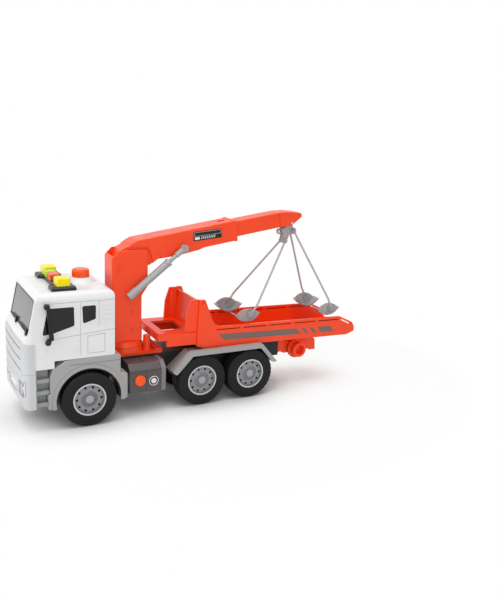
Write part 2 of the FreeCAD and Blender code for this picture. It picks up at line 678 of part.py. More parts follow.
def roof_gear():
    """Light bar and the round button on the roof."""
    top = CAB_TOP + LIGHT_BASE_T
    half = LIGHT_HALF_W
    front, back = LIGHT_FRONT_D, LIGHT_BACK_D
    flare = 5.4
    inner = LENS_INNER + 1.5
    end = [(back, half), (back, inner), (back - flare, inner - 3.0)]
    edge = end + [(d, -y) for d, y in reversed(end)]
    end = [(front, -half), (front, -inner), (front + flare, 3.0 - inner)]
    edge += end + [(d, -y) for d, y in reversed(end)]
    base = plan_plate(rounded(edge, 1.0), CAB_TOP, top)
    rim = [e for e in base.Edges if all(abs(v.Z - top) < 1e-6 for v in e.Vertexes)]
    save("light_bar_base", base.makeChamfer(LIGHT_SLOPE, rim))

    def lens(d1, y0, y1, tall, radius, edge_r):
        plan = rounded([(LENS_FRONT_D, y0), (d1, y0), (d1, y1), (LENS_FRONT_D, y1)], radius)
        block = plan_plate(plan, top, top + tall)
        rim = [e for e in block.Edges if all(abs(v.Z - top - tall) < 1e-6 for v in e.Vertexes)]
        return block.makeFillet(edge_r, rim)

    outer = half - LIGHT_SLOPE - 0.3
    save("light_lens_yellow", pair(lens(LENS_BACK_D, LENS_INNER, outer, LENS_TALL, 2.0, 1.6)))
    save("light_lens_orange", lens(LOW_LENS_BACK_D, *ORANGE_Y, LENS_LOW, 1.2, 1.0))
    save("light_lens_green", lens(LOW_LENS_BACK_D, *GREEN_Y, LENS_LOW, 1.2, 1.0))
    seat = CAB_TOP + BUTTON_SEAT
    button = rod_z(BUTTON_D, 0, BUTTON_R, seat, seat + BUTTON_TALL)
    rim = [e for e in button.Edges if all(v.Z > seat + 1 for v in e.Vertexes)
           and abs(e.Length - 2 * math.pi * BUTTON_R) < 1e-3]
    save("roof_button", button.makeFillet(2.6, rim))


def mirrors():
    """Mirror on each door: two ball-ended arms and the plate between them."""
    w = CAB_HALF_W
    y = MIRROR_OUT - MIRROR_BALL_R
    high, low = (-44.2, 138.3), (-43.6, 100.4)
    pieces = [rod_y(high[0], high[1], 1.8, w - 0.2, y), ball(high[0], y, high[1], MIRROR_BALL_R),
              rod_y(low[0] + 1.5, low[1] + 1.5, 1.8, w - 0.2, y),
              ball(low[0], y, low[1], MIRROR_BALL_R)]
    plate = side_plate(rounded([(-44.8, 137.0), (-40.6, 137.0), (-37.6, 103.0), (-42.0, 101.0)],
                               0.9), y - 1.6, y + 0.4)
    save("mirrors", pair(join(pieces + [plate])).cut(cab_block(0.0)))


def side_boxes():
    """Control box on the left, its plain twin on the right."""
    inner = CHASSIS_HALF_W
    outline = rounded([(BOX_OUT, BOX_FOOT), (BOX_OUT, 54.0), (BOX_OUT - 8, BOX_TOP),
                       (inner, BOX_TOP), (inner, BOX_FOOT)], [2.0, 2.5, 2.0, 0, 0])
    body = cross_plate(outline, BOX_FRONT_D, BOX_BACK_D)
    g = GROOVE
    seam = box(66.0, 66.0 + g, BOX_OUT - g, BOX_OUT + 1, BOX_FOOT - 1, BOX_TOP)
    lid = box(BOX_FRONT_D - 1, BOX_BACK_D + 1, BOX_OUT - g, BOX_OUT + 1, 52.0, 52.0 + g)
    hinge = box(66.0, 66.0 + g, inner, BOX_OUT + 1, BOX_TOP - g, BOX_TOP + 1)
    body = cut_all(body, [seam, lid, hinge])
    cap = rounded([(BOX_OUT + 0.4, BOX_FOOT - 0.4), (BOX_OUT + 0.4, 54.3), (BOX_OUT - 7.8, 61.0),
                   (inner, 61.0), (inner, BOX_FOOT - 0.4)], [2.4, 2.9, 2.4, 0, 0])
    cap = cross_plate(cap, BOX_BACK_D, BOX_BACK_D + BOX_CAP_T)
    save("control_box_left", body)
    save("control_box_right", mirrored(body))
    save("box_end_caps", pair(cap))
    d, z, r = SOUND_BUTTON
    button = rod_y(d, z, r, BOX_OUT, BOX_OUT + 3.0)
    rim = [e for e in button.Edges if all(abs(v.Y - BOX_OUT - 3.0) < 1e-6 for v in e.Vertexes)]
    save("sound_button", button.makeFillet(1.2, rim))


def mudguards():
    """Three-plane guards over the rear wheels, and the raised strips along their outside."""
    g = GUARD_FOOT
    foot = [(102.2, g), (104.6, g), (123.5, GUARD_UNDER), (213.5, GUARD_UNDER), (230.8, g)]
    corner = [0.6, 0, 2.0, 2.0, 0, 0.6, 3.0, 3.0, 0.6]
    rim = side_plate(rounded(foot + [(237.0, g), (214.8, GUARD_TOP), (122.0, GUARD_TOP),
                                     (98.5, 45.5)], corner), GUARD_STRIP_IN, GUARD_OUT)
    web = side_plate(rounded(foot + [(234.0, g), (214.6, GUARD_WEB_TOP),
                                     (122.4, GUARD_WEB_TOP), (99.5, 44.5)], corner),
                     GUARD_IN, GUARD_STRIP_IN)
    tyre_in = REAR_TYRE_OUT - TYRE_W
    post = box(150.0, 157.0, GUARD_IN, tyre_in - 0.7, 52.0, GUARD_UNDER + 1.0)
    tie = box(182.0, 189.0, GUARD_IN, tyre_in - 0.7, 52.0, GUARD_UNDER + 1.0)
    guard = join([web, post, tie])
    save("mudguard_left", guard)
    save("mudguard_right", mirrored(guard))
    save("mudguard_strips", pair(rim))


def crane_base():
    """Plate on the chassis with the ring that carries the crane."""
    z0 = CHASSIS_TOP
    z1 = z0 + BASE_PLATE_T
    w = CHASSIS_HALF_W
    plate = plan_plate(rounded([(BASE_FRONT_D, -w), (BASE_BACK_D, -w), (BASE_BACK_D, w),
                                (BASE_FRONT_D, w)], 1.5), z0, z1)
    ledge = box(BASE_BACK_D - 9.0, BASE_BACK_D - 1.0, -w + 1.0, w - 1.0, z1 - 0.5, z1 + 2.0)
    ring = Part.makeCone(RING_R, RING_R - 1.0, BASE_RING_T, V(at(MAST_D), 0, z1), V(0, 0, 1))
    reach = RING_R - 1.0 + POST_RUN + POST_R
    post_d = MAST_D + math.sqrt(reach ** 2 - POST_Y ** 2)
    post = rod_z(post_d, POST_Y, POST_R, z1, POST_TOP)
    rim = [e for e in post.Edges if all(abs(v.Z - POST_TOP) < 1e-6 for v in e.Vertexes)]
    post = post.makeFillet(1.5, rim)
    body = join([plate, ledge, ring] + both([post]))
    body = body.cut(rod_z(MAST_D, 0, SPIGOT_R + RUN_CLEAR, z0 - 1, z1 + BASE_RING_T + 1))
    save("crane_base", body)


def ring_mark(d, z, y, radius):
    """Shallow round groove on the side at y."""
    ring = rod_y(d, z, radius, y - GROOVE, y + 1)
    return ring.cut(rod_y(d, z, radius - GROOVE, y - GROOVE, y + 1))


def mast():
    """Hollow column with a fork box on top, slewing on a spigot."""
    z_foot = CHASSIS_TOP + BASE_PLATE_T + BASE_RING_T + SEAT
    z_ring = z_foot + FOOT_RING_T
    ring = Part.makeCone(RING_R - 1.0, RING_R - 3.0, FOOT_RING_T, V(at(MAST_D), 0, z_foot),
                         V(0, 0, 1))
    spigot = rod_z(MAST_D, 0, SPIGOT_R, CHASSIS_TOP - CHASSIS_WALL, z_foot + 1)
    d0, d1 = MAST_D - MAST_HALF_L, MAST_D + MAST_HALF_L
    w = MAST_HALF_W
    outline = rounded([(d0, z_ring - 1), (d0, COLUMN_TOP_Z), (HEAD_FRONT_D, HEAD_FOOT_Z),
                       (HEAD_FRONT_D, 176.0), (BOOM_PIVOT_D + 1, HEAD_TOP_Z - 0.5),
                       (HEAD_BACK_D - 2, HEAD_TOP_Z),
                       (HEAD_BACK_D, HEAD_TOP_Z - 2.5), (HEAD_BACK_D, 141.5),
                       (d1, COLUMN_TOP_Z - 1), (d1, z_ring - 1)],
                      [0, 3.0, 3.0, 3.0, 3.0, 1.0, 1.0, 3.0, 3.0, 0])
    body = soft_plate(outline, -w, w, MAST_EDGE_R)
    t = MAST_WALL
    inner = w - CHEEK_T
    hollow = box(d0 + t, d1 - t, -w + t, w - t, z_ring + 2, COLUMN_TOP_Z - 4)
    fork = side_plate([
        (HEAD_FRONT_D + 2, 152.0), (HEAD_FRONT_D + 2, HEAD_TOP_Z + 5),
        (HEAD_BACK_D + 5, HEAD_TOP_Z + 5), (HEAD_BACK_D + 5, 161.0),
        (HEAD_BACK_D - 2, 161.0), (HEAD_BACK_D - 2, 152.0)], -inner, inner)
    mouth = box(HEAD_FRONT_D - 1, HEAD_FRONT_D + 3, -inner, inner, 178.2, 200)
    bore = rod_y(BOOM_PIVOT_D, BOOM_PIVOT_Z, BOOM_PIN_R, -w - 1, w + 1)
    marks = both([ring_mark(RAM_FOOT_D + 1.5, z, w, 2.0) for z in (92.0, 112.1)])
    boss = rod_y(RAM_FOOT_D, RAM_FOOT_Z, RAM_BOSS_R, w - 1, w + RAM_BOSS_T)
    pin = rod_y(RAM_FOOT_D, RAM_FOOT_Z, PIN_R, w, RAM_Y + RAM_PIN_OUT)
    pin_eye = rod_y(BOOM_PIVOT_D, BOOM_PIVOT_Z, BOOM_PIN_R + 1.6, w - 1, w + 0.6)
    body = join([body, ring, spigot, boss, pin] + both([pin_eye]))
    save("mast", cut_all(body, [hollow, fork, mouth, bore] + marks))
    save("boom_pin", rod_y(BOOM_PIVOT_D, BOOM_PIVOT_Z, BOOM_PIN_R, -w + 0.2, w - 0.2))


def on_boom(points):
    """Points (u along the boom, w above its pivot) as (d, z) with the boom level."""
    return [(BOOM_PIVOT_D + u, BOOM_PIVOT_Z + v) for u, v in points]


def at_rest(shape):
    """A level boom shape, turned up to the boom's rest angle."""
    return turned(shape, BOOM_PIVOT_D, BOOM_PIVOT_Z, BOOM_REST)


def boom():
    """Outer boom with its narrow root, and the inner boom that slides in it."""
    top = BOOM_TOP_W
    low = top - BOOM_DEEP
    w = MAST_HALF_W
    root = side_plate(on_boom([(-2.0, 0.5), (6.6, 18.2), (12.8, 19.9), (19.2, 23.2), (26.7, top - 0.6),
                               (60.0, top - 0.6), (60.0, 1.0), (47.6, 0.2), (37.6, -4.7),
                               (0.0, -4.0)]), -BOOM_ROOT_HALF_W, BOOM_ROOT_HALF_W)
    eye = rod_y(BOOM_PIVOT_D, BOOM_PIVOT_Z, 4.0, -BOOM_ROOT_HALF_W, BOOM_ROOT_HALF_W)
    outline = rounded([(12.8, 19.9), (19.2, 23.2), (26.7, top), (BOOM_END_U, top),
                       (BOOM_END_U, low), (105.7, low), (99.0, 0.3), (72.0, -0.9),
                       (47.6, 0.2), (37.6, -4.7)],
                      [0, 3.0, 6.0, 0.8, 0.8, 3.0, 6.0, 8.0, 4.0, 0])
    wide = soft_plate(on_boom_arcs(outline), -w, w, BOOM_EDGE_R)
    sweep = side_plate(on_boom([(-20, -30), (-20, 21.6), (10.0, 21.6), (60.0, 13.6), (60, -30)]),
                       -w - 1, w + 1)
    arc = rod_y(BOOM_PIVOT_D, BOOM_PIVOT_Z, BOOM_SWEEP_R, -w - 1, w + 1)
    wide = wide.cut(arc.common(sweep))
    collar = soft_plate(on_boom_arcs(rounded([(BOOM_END_U - 4.0, top + 0.5), (BOOM_END_U, top + 0.5),
                                              (BOOM_END_U, low - 0.5), (BOOM_END_U - 4.0, low - 0.5)],
                                             0.8)), -w - 0.5, w + 0.5, 0.6)
    solid = join([root, eye, wide, collar])
    side = INNER_HALF_W + SEAT
    cavity = side_plate(on_boom([(62.0, top - BOOM_TOP_T), (BOOM_END_U + 1, top - BOOM_TOP_T),
                                 (BOOM_END_U + 1, low + BOOM_FLOOR_T),
                                 (62.0, low + BOOM_FLOOR_T)]), -side, side)
    latch = side_plate(on_boom([(LATCH_U[0], top - 3), (LATCH_U[1], top - 3),
                                (LATCH_U[1], top + 2), (LATCH_U[0], top + 2)]),
                       -LATCH_HALF_W, LATCH_HALF_W)
    rest = at_rest(cut_all(solid, [cavity, latch]))
    boss = rod_y(RAM_EYE_D, RAM_EYE_Z, RAM_BOSS_R, w - 1, w + RAM_BOSS_T)
    pin = rod_y(RAM_EYE_D, RAM_EYE_Z, PIN_R, w, RAM_Y + RAM_PIN_OUT)
    rest = join([rest, boss, pin])
    bore = rod_y(BOOM_PIVOT_D, BOOM_PIVOT_Z, BOOM_PIN_R + RUN_CLEAR, -20, 20)
    save("boom_outer", rest.cut(bore))
    high = top - BOOM_TOP_T - SEAT
    deep = low + BOOM_FLOOR_T + SEAT
    outline = rounded([(INNER_ROOT_U, high), (INNER_END_U, high), (226.0, top - 3.6),
                       (NOSE_END_U - 2, top - 7.5), (NOSE_END_U, top - 9),
                       (NOSE_END_U, top - 13), (228.0, 4.5), (INNER_END_U, deep),
                       (INNER_ROOT_U, deep)], [0, 6.0, 6.0, 1.0, 0.8, 2.0, 5.0, 6.0, 0])
    inner = soft_plate(on_boom_arcs(outline), -INNER_HALF_W, INNER_HALF_W, BOOM_EDGE_R)
    seam = side_plate(on_boom([(INNER_END_U, -5.0), (INNER_END_U + GROOVE, -5.0),
                               (INNER_END_U + GROOVE, top), (INNER_END_U, top)]),
                      INNER_HALF_W - GROOVE, INNER_HALF_W + 1)
    core = side_plate(on_boom([(INNER_ROOT_U - 1, high - 2), (204.0, high - 2), (204.0, deep + 2),
                               (INNER_ROOT_U - 1, deep + 2)]), -INNER_HALF_W + 2, INNER_HALF_W - 2)
    slot_w = HOOK_HALF_W + SEAT
    slot = rod_y(HOOK_PIN_D, HOOK_PIN_Z, HOOK_SLOT_R, -slot_w, slot_w)
    under = side_plate(on_boom([(180.0, -5.0), (180.0, 19.0), (226.0, 19.0), (250.0, 14.0),
                                (250.0, -5.0)]), -slot_w, slot_w)
    inner = at_rest(cut_all(inner, both([seam]) + [core]))
    inner = cut_all(inner, [slot.common(at_rest(under)),
                            rod_y(HOOK_PIN_D, HOOK_PIN_Z, PIN_R, -20, 20)])
    save("boom_inner", inner)
    save("hook_pin", rod_y(HOOK_PIN_D, HOOK_PIN_Z, PIN_R, -INNER_HALF_W, INNER_HALF_W))


def on_boom_arcs(outline):
    """Rounded boom outline as (d, z), arcs included."""
    out = []
    for entry in outline:
        moved = on_boom([entry[k:k + 2] for k in range(0, len(entry), 2)])
        out.append(tuple(value for point in moved for value in point))
    return out


def ram():
    """Cylinder: a barrel on the mast and a rod on the boom."""
    foot = V(at(RAM_FOOT_D), RAM_Y, RAM_FOOT_Z)
    eye = V(at(RAM_EYE_D), RAM_Y, RAM_EYE_Z)
    line = eye - foot
    line.normalize()

    def bar(radius, start, end):
        return Part.makeCylinder(radius, end - start, foot + line * start, line)

    reach = (eye - foot).Length
    barrel_end = reach - ROD_HEAD_LEN - ROD_SHOWS
    barrel = join([bar(BARREL_R, -4.0, barrel_end), bar(BARREL_CAP_R, -5.0, BARREL_CAP_LEN - 5.0),
                   bar(COLLAR_R, barrel_end - COLLAR_LEN, barrel_end)])
    bore_end = RAM_Y + RAM_PIN_OUT + SEAT
    pin = rod_y(RAM_FOOT_D, RAM_FOOT_Z, PIN_R + RUN_CLEAR, 0, bore_end)
    wall = box(-50, 200, 0, MAST_HALF_W + RAM_BOSS_T + JOIN, 0, 300)
    save("ram_barrel", cut_all(barrel, [bar(ROD_R + RUN_CLEAR, 8.0, barrel_end + 1), pin, wall]))
    rod = join([bar(ROD_R, 12.0, reach), bar(ROD_HEAD_R, reach - ROD_HEAD_LEN, reach - 1.0),
                rod_y(RAM_EYE_D, RAM_EYE_Z, ROD_EYE_R, RAM_Y - 2.4, RAM_Y + ROD_HEAD_R - 0.3)])
    pin = rod_y(RAM_EYE_D, RAM_EYE_Z, PIN_R + ROD_EYE_CLEAR, 0, bore_end)
    save("ram_rod", cut_all(rod, [pin, wall]))


def hook_block():
    """Block on the head pin, with an eye to the front, one to the rear and a claw."""
    w = HOOK_HALF_W
    pin_d, pin_z = HOOK_PIN_D, HOOK_PIN_Z
    lug = side_plate([(pin_d - 4.0, pin_z), (pin_d + 4.0, pin_z), (pin_d + 6.0, pin_z - 8.0),
                      (pin_d - 6.0, pin_z - 8.0)], -w, w)
    knuckle = rod_y(pin_d, pin_z, 4.0, -w, w)
    body = side_plate(rounded([(pin_d - 9.5, pin_z - 13.0), (pin_d - 9.5, pin_z - 7.0),
                               (pin_d + 5.0, pin_z - 6.5), (pin_d + 9.0, pin_z - 11.0),
                               (pin_d + 3.0, pin_z - 15.5)], 1.2), -w, w)
    arm = side_plate([(pin_d - 7.5, pin_z - 12.0), (pin_d + 2.5, pin_z - 12.0),
                      (FRONT_EYE[0] + 2.6, FRONT_EYE[1] - 1.0),
                      (FRONT_EYE[0] - 2.8, FRONT_EYE[1] + 1.0)], -w, w)
    claw = rod_y(CLAW[0], CLAW[1], CLAW_R, -1.6, 1.6)
    claw = cut_all(claw, [rod_y(CLAW[0], CLAW[1], CLAW_R - CLAW_WIRE, -2, 2),
                          box(CLAW[0] - 1.4, CLAW[0] + 2.2, -2, 2, CLAW[1], CLAW[1] + 5.0)])
    out = w + EYE_PIN_OUT
    pieces = [lug, knuckle, body, arm, claw,
              rod_y(FRONT_EYE[0], FRONT_EYE[1], FRONT_EYE_R, -w, w),
              rod_y(REAR_EYE[0], REAR_EYE[1], REAR_EYE_R, -w, w),
              rod_y(FRONT_EYE[0], FRONT_EYE[1], EYE_PIN_R, -out, out),
              rod_y(REAR_EYE[0], REAR_EYE[1], EYE_PIN_R, -out, out)]
    for eye in (FRONT_EYE, REAR_EYE):
        pieces += both([rod_y(eye[0], eye[1], EYE_HEAD_R, out - EYE_HEAD_T, out)])
    bore = rod_y(pin_d, pin_z, PIN_R + RUN_CLEAR, -w - 1, w + 1)
    save("hook_block", join(pieces).cut(bore))


def sling(name, eye, boss):
    """Stiff strip from a hook eye to a tray's boss, with a ring at each end."""
    high = HOOK_HALF_W + JOIN + SLING_RING_T / 2
    low = TRAY_OUT_Y + JOIN + SLING_RING_T / 2
    half = SLING_RING_T / 2
    top_ring = rod_y(eye[0], eye[1], 2.8, high - half, high + half)
    low_ring = rod_y(boss[0], boss[1], 3.6, low - half, low + half)
    start = (eye[0], high, eye[1])
    foot = (boss[0], low, boss[1])
    knee = (boss[0] + (eye[0] - boss[0]) * SLING_KNEE, low + 0.3,
            boss[1] + (eye[1] - boss[1]) * SLING_KNEE)
    body = join([top_ring, low_ring, rod_between(start, knee, SLING_R),
                 ball(knee[0], knee[1], knee[2], SLING_BEND_R), rod_between(knee, foot, SLING_R)])
    body = cut_all(body, [rod_y(eye[0], eye[1], EYE_PIN_R + RUN_CLEAR, 0, high + 5),
                          rod_y(eye[0], eye[1], EYE_HEAD_R + JOIN, high + half, high + 5),
                          rod_y(boss[0], boss[1], TRAY_PIN_R + RUN_CLEAR, 0, low + 5),
                          rod_y(boss[0], boss[1], TRAY_HEAD_R + JOIN, low + half, low + 5)])
    save("sling_" + name + "_left", body)
    save("sling_" + name + "_right", mirrored(body))


def tray(name, boss):
    """Round-bottomed tray that cups a wheel, with a domed side plate and its sling pin."""
    boss_d, boss_z = boss
    d = boss_d - TRAY_BOSS_BACK
    z = boss_z + TRAY_BRIM
    y1 = TRAY_OUT_Y
    y0 = y1 - TRAY_W
    deep = TRAY_DEEP + TRAY_BRIM
    radius = (TRAY_HALF_L ** 2 + deep ** 2) / (2 * deep)
    centre = z - deep + radius
    t = TRAY_T
    half = TRAY_CROWN_HALF
    room = box(d - TRAY_HALF_L, d + TRAY_HALF_L, y0, y1, z - deep, z)
    hollow = rod_y(d, centre, radius - t, y0 - 1, y1 - t)
    cup = rod_y(d, centre, radius, y0, y1).common(room).cut(hollow)
    crown = side_plate([(d - half, z - 1), (d - half, z),
                        (d, boss_z + TRAY_CROWN, d + half, z), (d + half, z - 1)], y1 - t, y1)
    hub = rod_y(boss_d, boss_z, TRAY_HUB_R, y1 - t - 1.0, y1)
    pin_end = y1 + 2 * JOIN + SLING_RING_T
    pin = rod_y(boss_d, boss_z, TRAY_PIN_R, y1 - 1, pin_end)
    head = rod_y(boss_d, boss_z, TRAY_HEAD_R, pin_end, pin_end + EYE_HEAD_T)
    body = join([cup, crown, hub, pin, head]).cut(ring_mark(boss_d, boss_z, y1, TRAY_RING_R))
    save("tray_" + name, pair(body))


def bed():
    """Bed tub with its front deck, and the headboard."""
    w = BED_HALF_W
    t = BED_WALL
    low = BED_BOTTOM
    tail = BED_TAIL_D
    knee = tail - 11.0
    floor = side_plate([(BED_NOSE_D, low + 3), (BED_NOSE_D + 9.0, low), (knee, low), (tail, low + 4),
                        (tail, low + BED_FLOOR_T + 1.5), (knee, low + BED_FLOOR_T),
                        (BED_NOSE_D, low + BED_FLOOR_T)], -w + 1, w - 1)
    outline = rounded([
        (BED_NOSE_D, low + 3), (BED_NOSE_D + 9.0, low), (knee, low), (tail, low + 4),
        (tail, TAIL_LIP_TOP), (tail - 4.0, BED_TOP - 9), (BED_RAIL_END_D, BED_TOP),
        (BED_RAIL_START_D, BED_TOP), (BED_POST_BACK_D, HEADBOARD_TOP),
        (132.0, HEADBOARD_TOP), (BED_NOSE_D, DECK_TOP + 4)],
        [2.0, 2.0, 4.0, 2.0, 2.0, 3.0, 3.0, 14.0, 1.5, 1.5, 0])
    rail = soft_plate(outline, w - t, w, BED_EDGE_R, (1,))
    deck = plan_plate(rounded([(DECK_FRONT_D, -DECK_HALF_W), (BED_NOSE_D + 1, -DECK_HALF_W),
                               (BED_NOSE_D + 1, DECK_HALF_W), (DECK_FRONT_D, DECK_HALF_W)],
                              [2.0, 0, 0, 2.0]), DECK_TOP - DECK_BAND, DECK_TOP - DECK_LIP)
    lip = plan_plate(rounded([(DECK_FRONT_D + 1.2, -DECK_HALF_W + 1.2),
                              (BED_NOSE_D + 1, -DECK_HALF_W + 1.2),
                              (BED_NOSE_D + 1, DECK_HALF_W - 1.2),
                              (DECK_FRONT_D + 1.2, DECK_HALF_W - 1.2)], [2.0, 0, 0, 2.0]),
                     DECK_TOP - DECK_LIP - 0.1, DECK_TOP)
    under = box(DECK_FRONT_D + 2.5, BED_NOSE_D + 0.5, -DECK_HALF_W + 2.5, DECK_HALF_W - 2.5,
                0, DECK_TOP - DECK_LIP - 2.0)
    hole = plan_plate(rounded([(DECK_HOLE[0], -DECK_HOLE[2]), (DECK_HOLE[1], -DECK_HOLE[2]),
                               (DECK_HOLE[1], DECK_HOLE[2]), (DECK_HOLE[0], DECK_HOLE[2])], 1.0),
                      0, 200)
    deck = cut_all(join([deck, lip]), [under, hole])
    skirt = box(DECK_SKIRT_D, BED_NOSE_D + 1, DECK_HALF_W - t, DECK_HALF_W - 0.6,
                low + 5, DECK_TOP - DECK_BAND + 1)
    wall = box(BED_NOSE_D, BED_NOSE_D + 2.5, -w + 1, w - 1, low + 3, DECK_TOP - 1)
    slot_len = (BED_RAIL_END_D - BED_RAIL_START_D - RAIL_SLOT_GAP * RAIL_SLOTS) / RAIL_SLOTS
    slot_top = BED_TOP - RAIL_SLOT_DROP
    slots = []
    for i in range(RAIL_SLOTS):
        d = BED_RAIL_START_D + RAIL_SLOT_GAP / 2 + i * (slot_len + RAIL_SLOT_GAP)
        slots.append(box(d, d + slot_len, w - t - 1, w + 1, slot_top - RAIL_SLOT_TALL, slot_top))
    end = [(BED_RAIL_END_D + 2.0, slot_top - 0.6), (tail - 7.0, BED_TOP - 10.6),
           (tail - 7.0, BED_TOP - 11.9), (BED_RAIL_END_D + 2.0, slot_top - 1.9)]
    slots.append(side_plate(end, w - t - 1, w + 1))
    pin_hole = rod_y(BED_NOSE_D + 4.3, HEADBOARD_TOP - 3.2, POST_HOLE_R, w - 1.2, w + 1)
    rail = cut_all(rail, slots + [pin_hole])
    tub = join([floor, deck, wall] + both([rail, skirt]))
    save("bed_tub", turned(tub, BED_PIVOT_D, BED_PIVOT_Z, -BED_LEAN))
    inner = w - t - 0.15
    foot = DECK_TOP
    board = side_plate([(HEADBOARD_D - 1.0, foot), (HEADBOARD_D + HEADBOARD_T - 1.0, foot),
                        (HEADBOARD_D + HEADBOARD_T + HEADBOARD_LEAN - 1.0, HEADBOARD_TOP - 2.0),
                        (HEADBOARD_D + HEADBOARD_LEAN - 1.0, HEADBOARD_TOP - 2.0)], -inner, inner)
    wing = side_plate(rounded([(116.0, foot), (HEADBOARD_D + 1, foot),
                               (HEADBOARD_D + HEADBOARD_LEAN + 1, HEADBOARD_TOP),
                               (122.0, HEADBOARD_TOP), (117.0, foot + 21)],
                              [0, 0, 1.0, 2.0, 4.0]), inner - HEADBOARD_T, inner)
    corner = rod_z(HEADBOARD_D - 7.0, inner - HEADBOARD_T - 6.0, 6.0, foot - 5, HEADBOARD_TOP + 5)
    fill = box(HEADBOARD_D - 7.0, HEADBOARD_D + 1.0, inner - HEADBOARD_T - 6.0, inner - 1.0,
               foot, HEADBOARD_TOP - 2.0).cut(corner)
    posts = both([rod_y(HEADBOARD_D - 2.5, HEADBOARD_TOP - 3.0, 2.2, inner - 5.0, inner)])
    save("headboard", turned(join([board] + both([wing, fill]) + posts),
                             BED_PIVOT_D, BED_PIVOT_Z, -BED_LEAN))


def bed_gear():
    """Bracket on the chassis, the cradle that tips, and the turning knob."""
    y0, y1 = BRACKET_Y
    d, z = BED_PIVOT_D, BED_PIVOT_Z
    outline = rounded([(d - 41.5, z + 12.0), (d - 25.5, z + 12.0), (d - 15.5, z + 10.0),
                       (d + 30.5, z + 9.0), (d + 32.0, z - 6.0), (d + 23.0, z - 6.0),
                       (d + 20.5, z - 4.0), (d - 15.5, z - 6.0), (d - 34.5, z + 2.0)],
                      [0, 0, 3.0, 2.0, 1.0, 1.0, 2.0, 3.0, 0])
    plate = side_plate(outline, y0, y1)
    web = box(CHASSIS_BACK_D, CHASSIS_BACK_D + 3.0, -y1, y1, z - 4.0, z + 9.5)
    bracket = join([plate, mirrored(plate), web])
    bracket = cut_all(bracket, [
        rod_y(d, z, KNOB_SHAFT_R + RUN_CLEAR, -30, 30),
        box(d - 47.5, CHASSIS_BACK_D, -CHASSIS_HALF_W, CHASSIS_HALF_W, 0, 100)])
    save("rear_bracket", bracket)
    disc_y = y1 + 1.0
    shaft = rod_y(d, z, KNOB_SHAFT_R, -y1 - 2.0, disc_y + 4.0)
    disc = rod_y(d, z, KNOB_DISC_R, disc_y, disc_y + 4.0)
    rim = [e for e in disc.Edges if abs(e.Length - 2 * math.pi * KNOB_DISC_R) < 1e-3]
    disc = disc.makeFillet(1.0, rim)
    tube = rod_y(d, z, KNOB_TUBE_R, disc_y + 3.0, KNOB_OUT)
    knob = join([shaft, disc, tube]).cut(rod_y(d, z, KNOB_BORE_R, disc_y + 5.5, KNOB_OUT + 1))
    save("bed_knob", knob)
    cradle = side_plate(rounded([(d - CRADLE_HALF_L, BED_BOTTOM - 0.5),
                                 (d + CRADLE_HALF_L, BED_BOTTOM - 0.5), (d + 7.0, z - 7.0),
                                 (d - 7.0, z - 7.0)], [0, 0, 6.0, 6.0]),
                        -CRADLE_HALF_W, CRADLE_HALF_W)
    cradle = cradle.cut(rod_y(d, z, KNOB_SHAFT_R + RUN_CLEAR, -30, 30))
    save("bed_cradle", turned(cradle, d, z, -BED_LEAN))


wheel_set("front", 0.0, FRONT_TYRE_OUT, 10)
wheel_set("middle", MID_AXLE_D, REAR_TYRE_OUT, 0)
wheel_set("rear", REAR_AXLE_D, REAR_TYRE_OUT, 0)
chassis()
cab()
fascia()
fenders()
steps()
roof_gear()
mirrors()
side_boxes()
mudguards()
crane_base()
mast()
boom()
ram()
hook_block()
sling("front", FRONT_EYE, FRONT_BOSS)
sling("rear", REAR_EYE, REAR_BOSS)
tray("front", FRONT_BOSS)
tray("rear", REAR_BOSS)
bed()
bed_gear()
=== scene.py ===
# %% [markdown]
# # A toy tow truck, dressed for its picture
# The truck is already modelled as solids: its shapes and joints are settled before this file
# starts. Here each of those solids gets a finish that looks like moulded plastic, rubber or
# metal, and the small trim that is too fine for the solids is added: tyre tread, wipers, head
# lamps, screws and stripes. Then a camera, a floor and soft lamps make the picture.

# %% Start with the solids
import math

import bmesh
import bpy
import numpy as np
from mathutils import Matrix


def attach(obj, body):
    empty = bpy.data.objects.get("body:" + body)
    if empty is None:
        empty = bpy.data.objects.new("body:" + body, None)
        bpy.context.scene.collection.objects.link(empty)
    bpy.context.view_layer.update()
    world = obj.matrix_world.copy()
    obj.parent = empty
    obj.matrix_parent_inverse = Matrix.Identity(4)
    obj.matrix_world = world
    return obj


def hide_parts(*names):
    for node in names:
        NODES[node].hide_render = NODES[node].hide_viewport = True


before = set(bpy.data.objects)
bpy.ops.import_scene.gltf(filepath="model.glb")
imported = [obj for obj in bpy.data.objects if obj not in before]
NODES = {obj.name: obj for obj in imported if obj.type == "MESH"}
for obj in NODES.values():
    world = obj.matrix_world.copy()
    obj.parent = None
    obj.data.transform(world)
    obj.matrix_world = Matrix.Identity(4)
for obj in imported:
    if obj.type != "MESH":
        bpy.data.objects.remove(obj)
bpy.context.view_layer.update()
print("solids loaded:", len(NODES))

# %% [markdown]
# The truck drives along +X, its left side faces +Y and the floor is z = 0. Most places on a
# truck are easier to say as a distance d behind the front axle, in millimetres, so one small
# helper turns such a place into metres in Blender's frame. Two more turn a colour as seen into
# linear light, and any vector into a direction.

# %% Places on the truck
FRONT_AXLE_X = 143.5
AXLE_D = {"front": 0.0, "middle": 136.7, "rear": 200.5}
AXLE_Z = 30.5
TYRE_OUT_Y = {"front": 52.2, "middle": 43.5, "rear": 43.5}
BOTH_SIDES = (1, -1)


def spots(points):
    """Rows of (d, y, z), mm behind the front axle, to the left and up, as metres."""
    return (np.asarray(points, float) * [-1, 1, 1] + [FRONT_AXLE_X, 0, 0]) / 1000


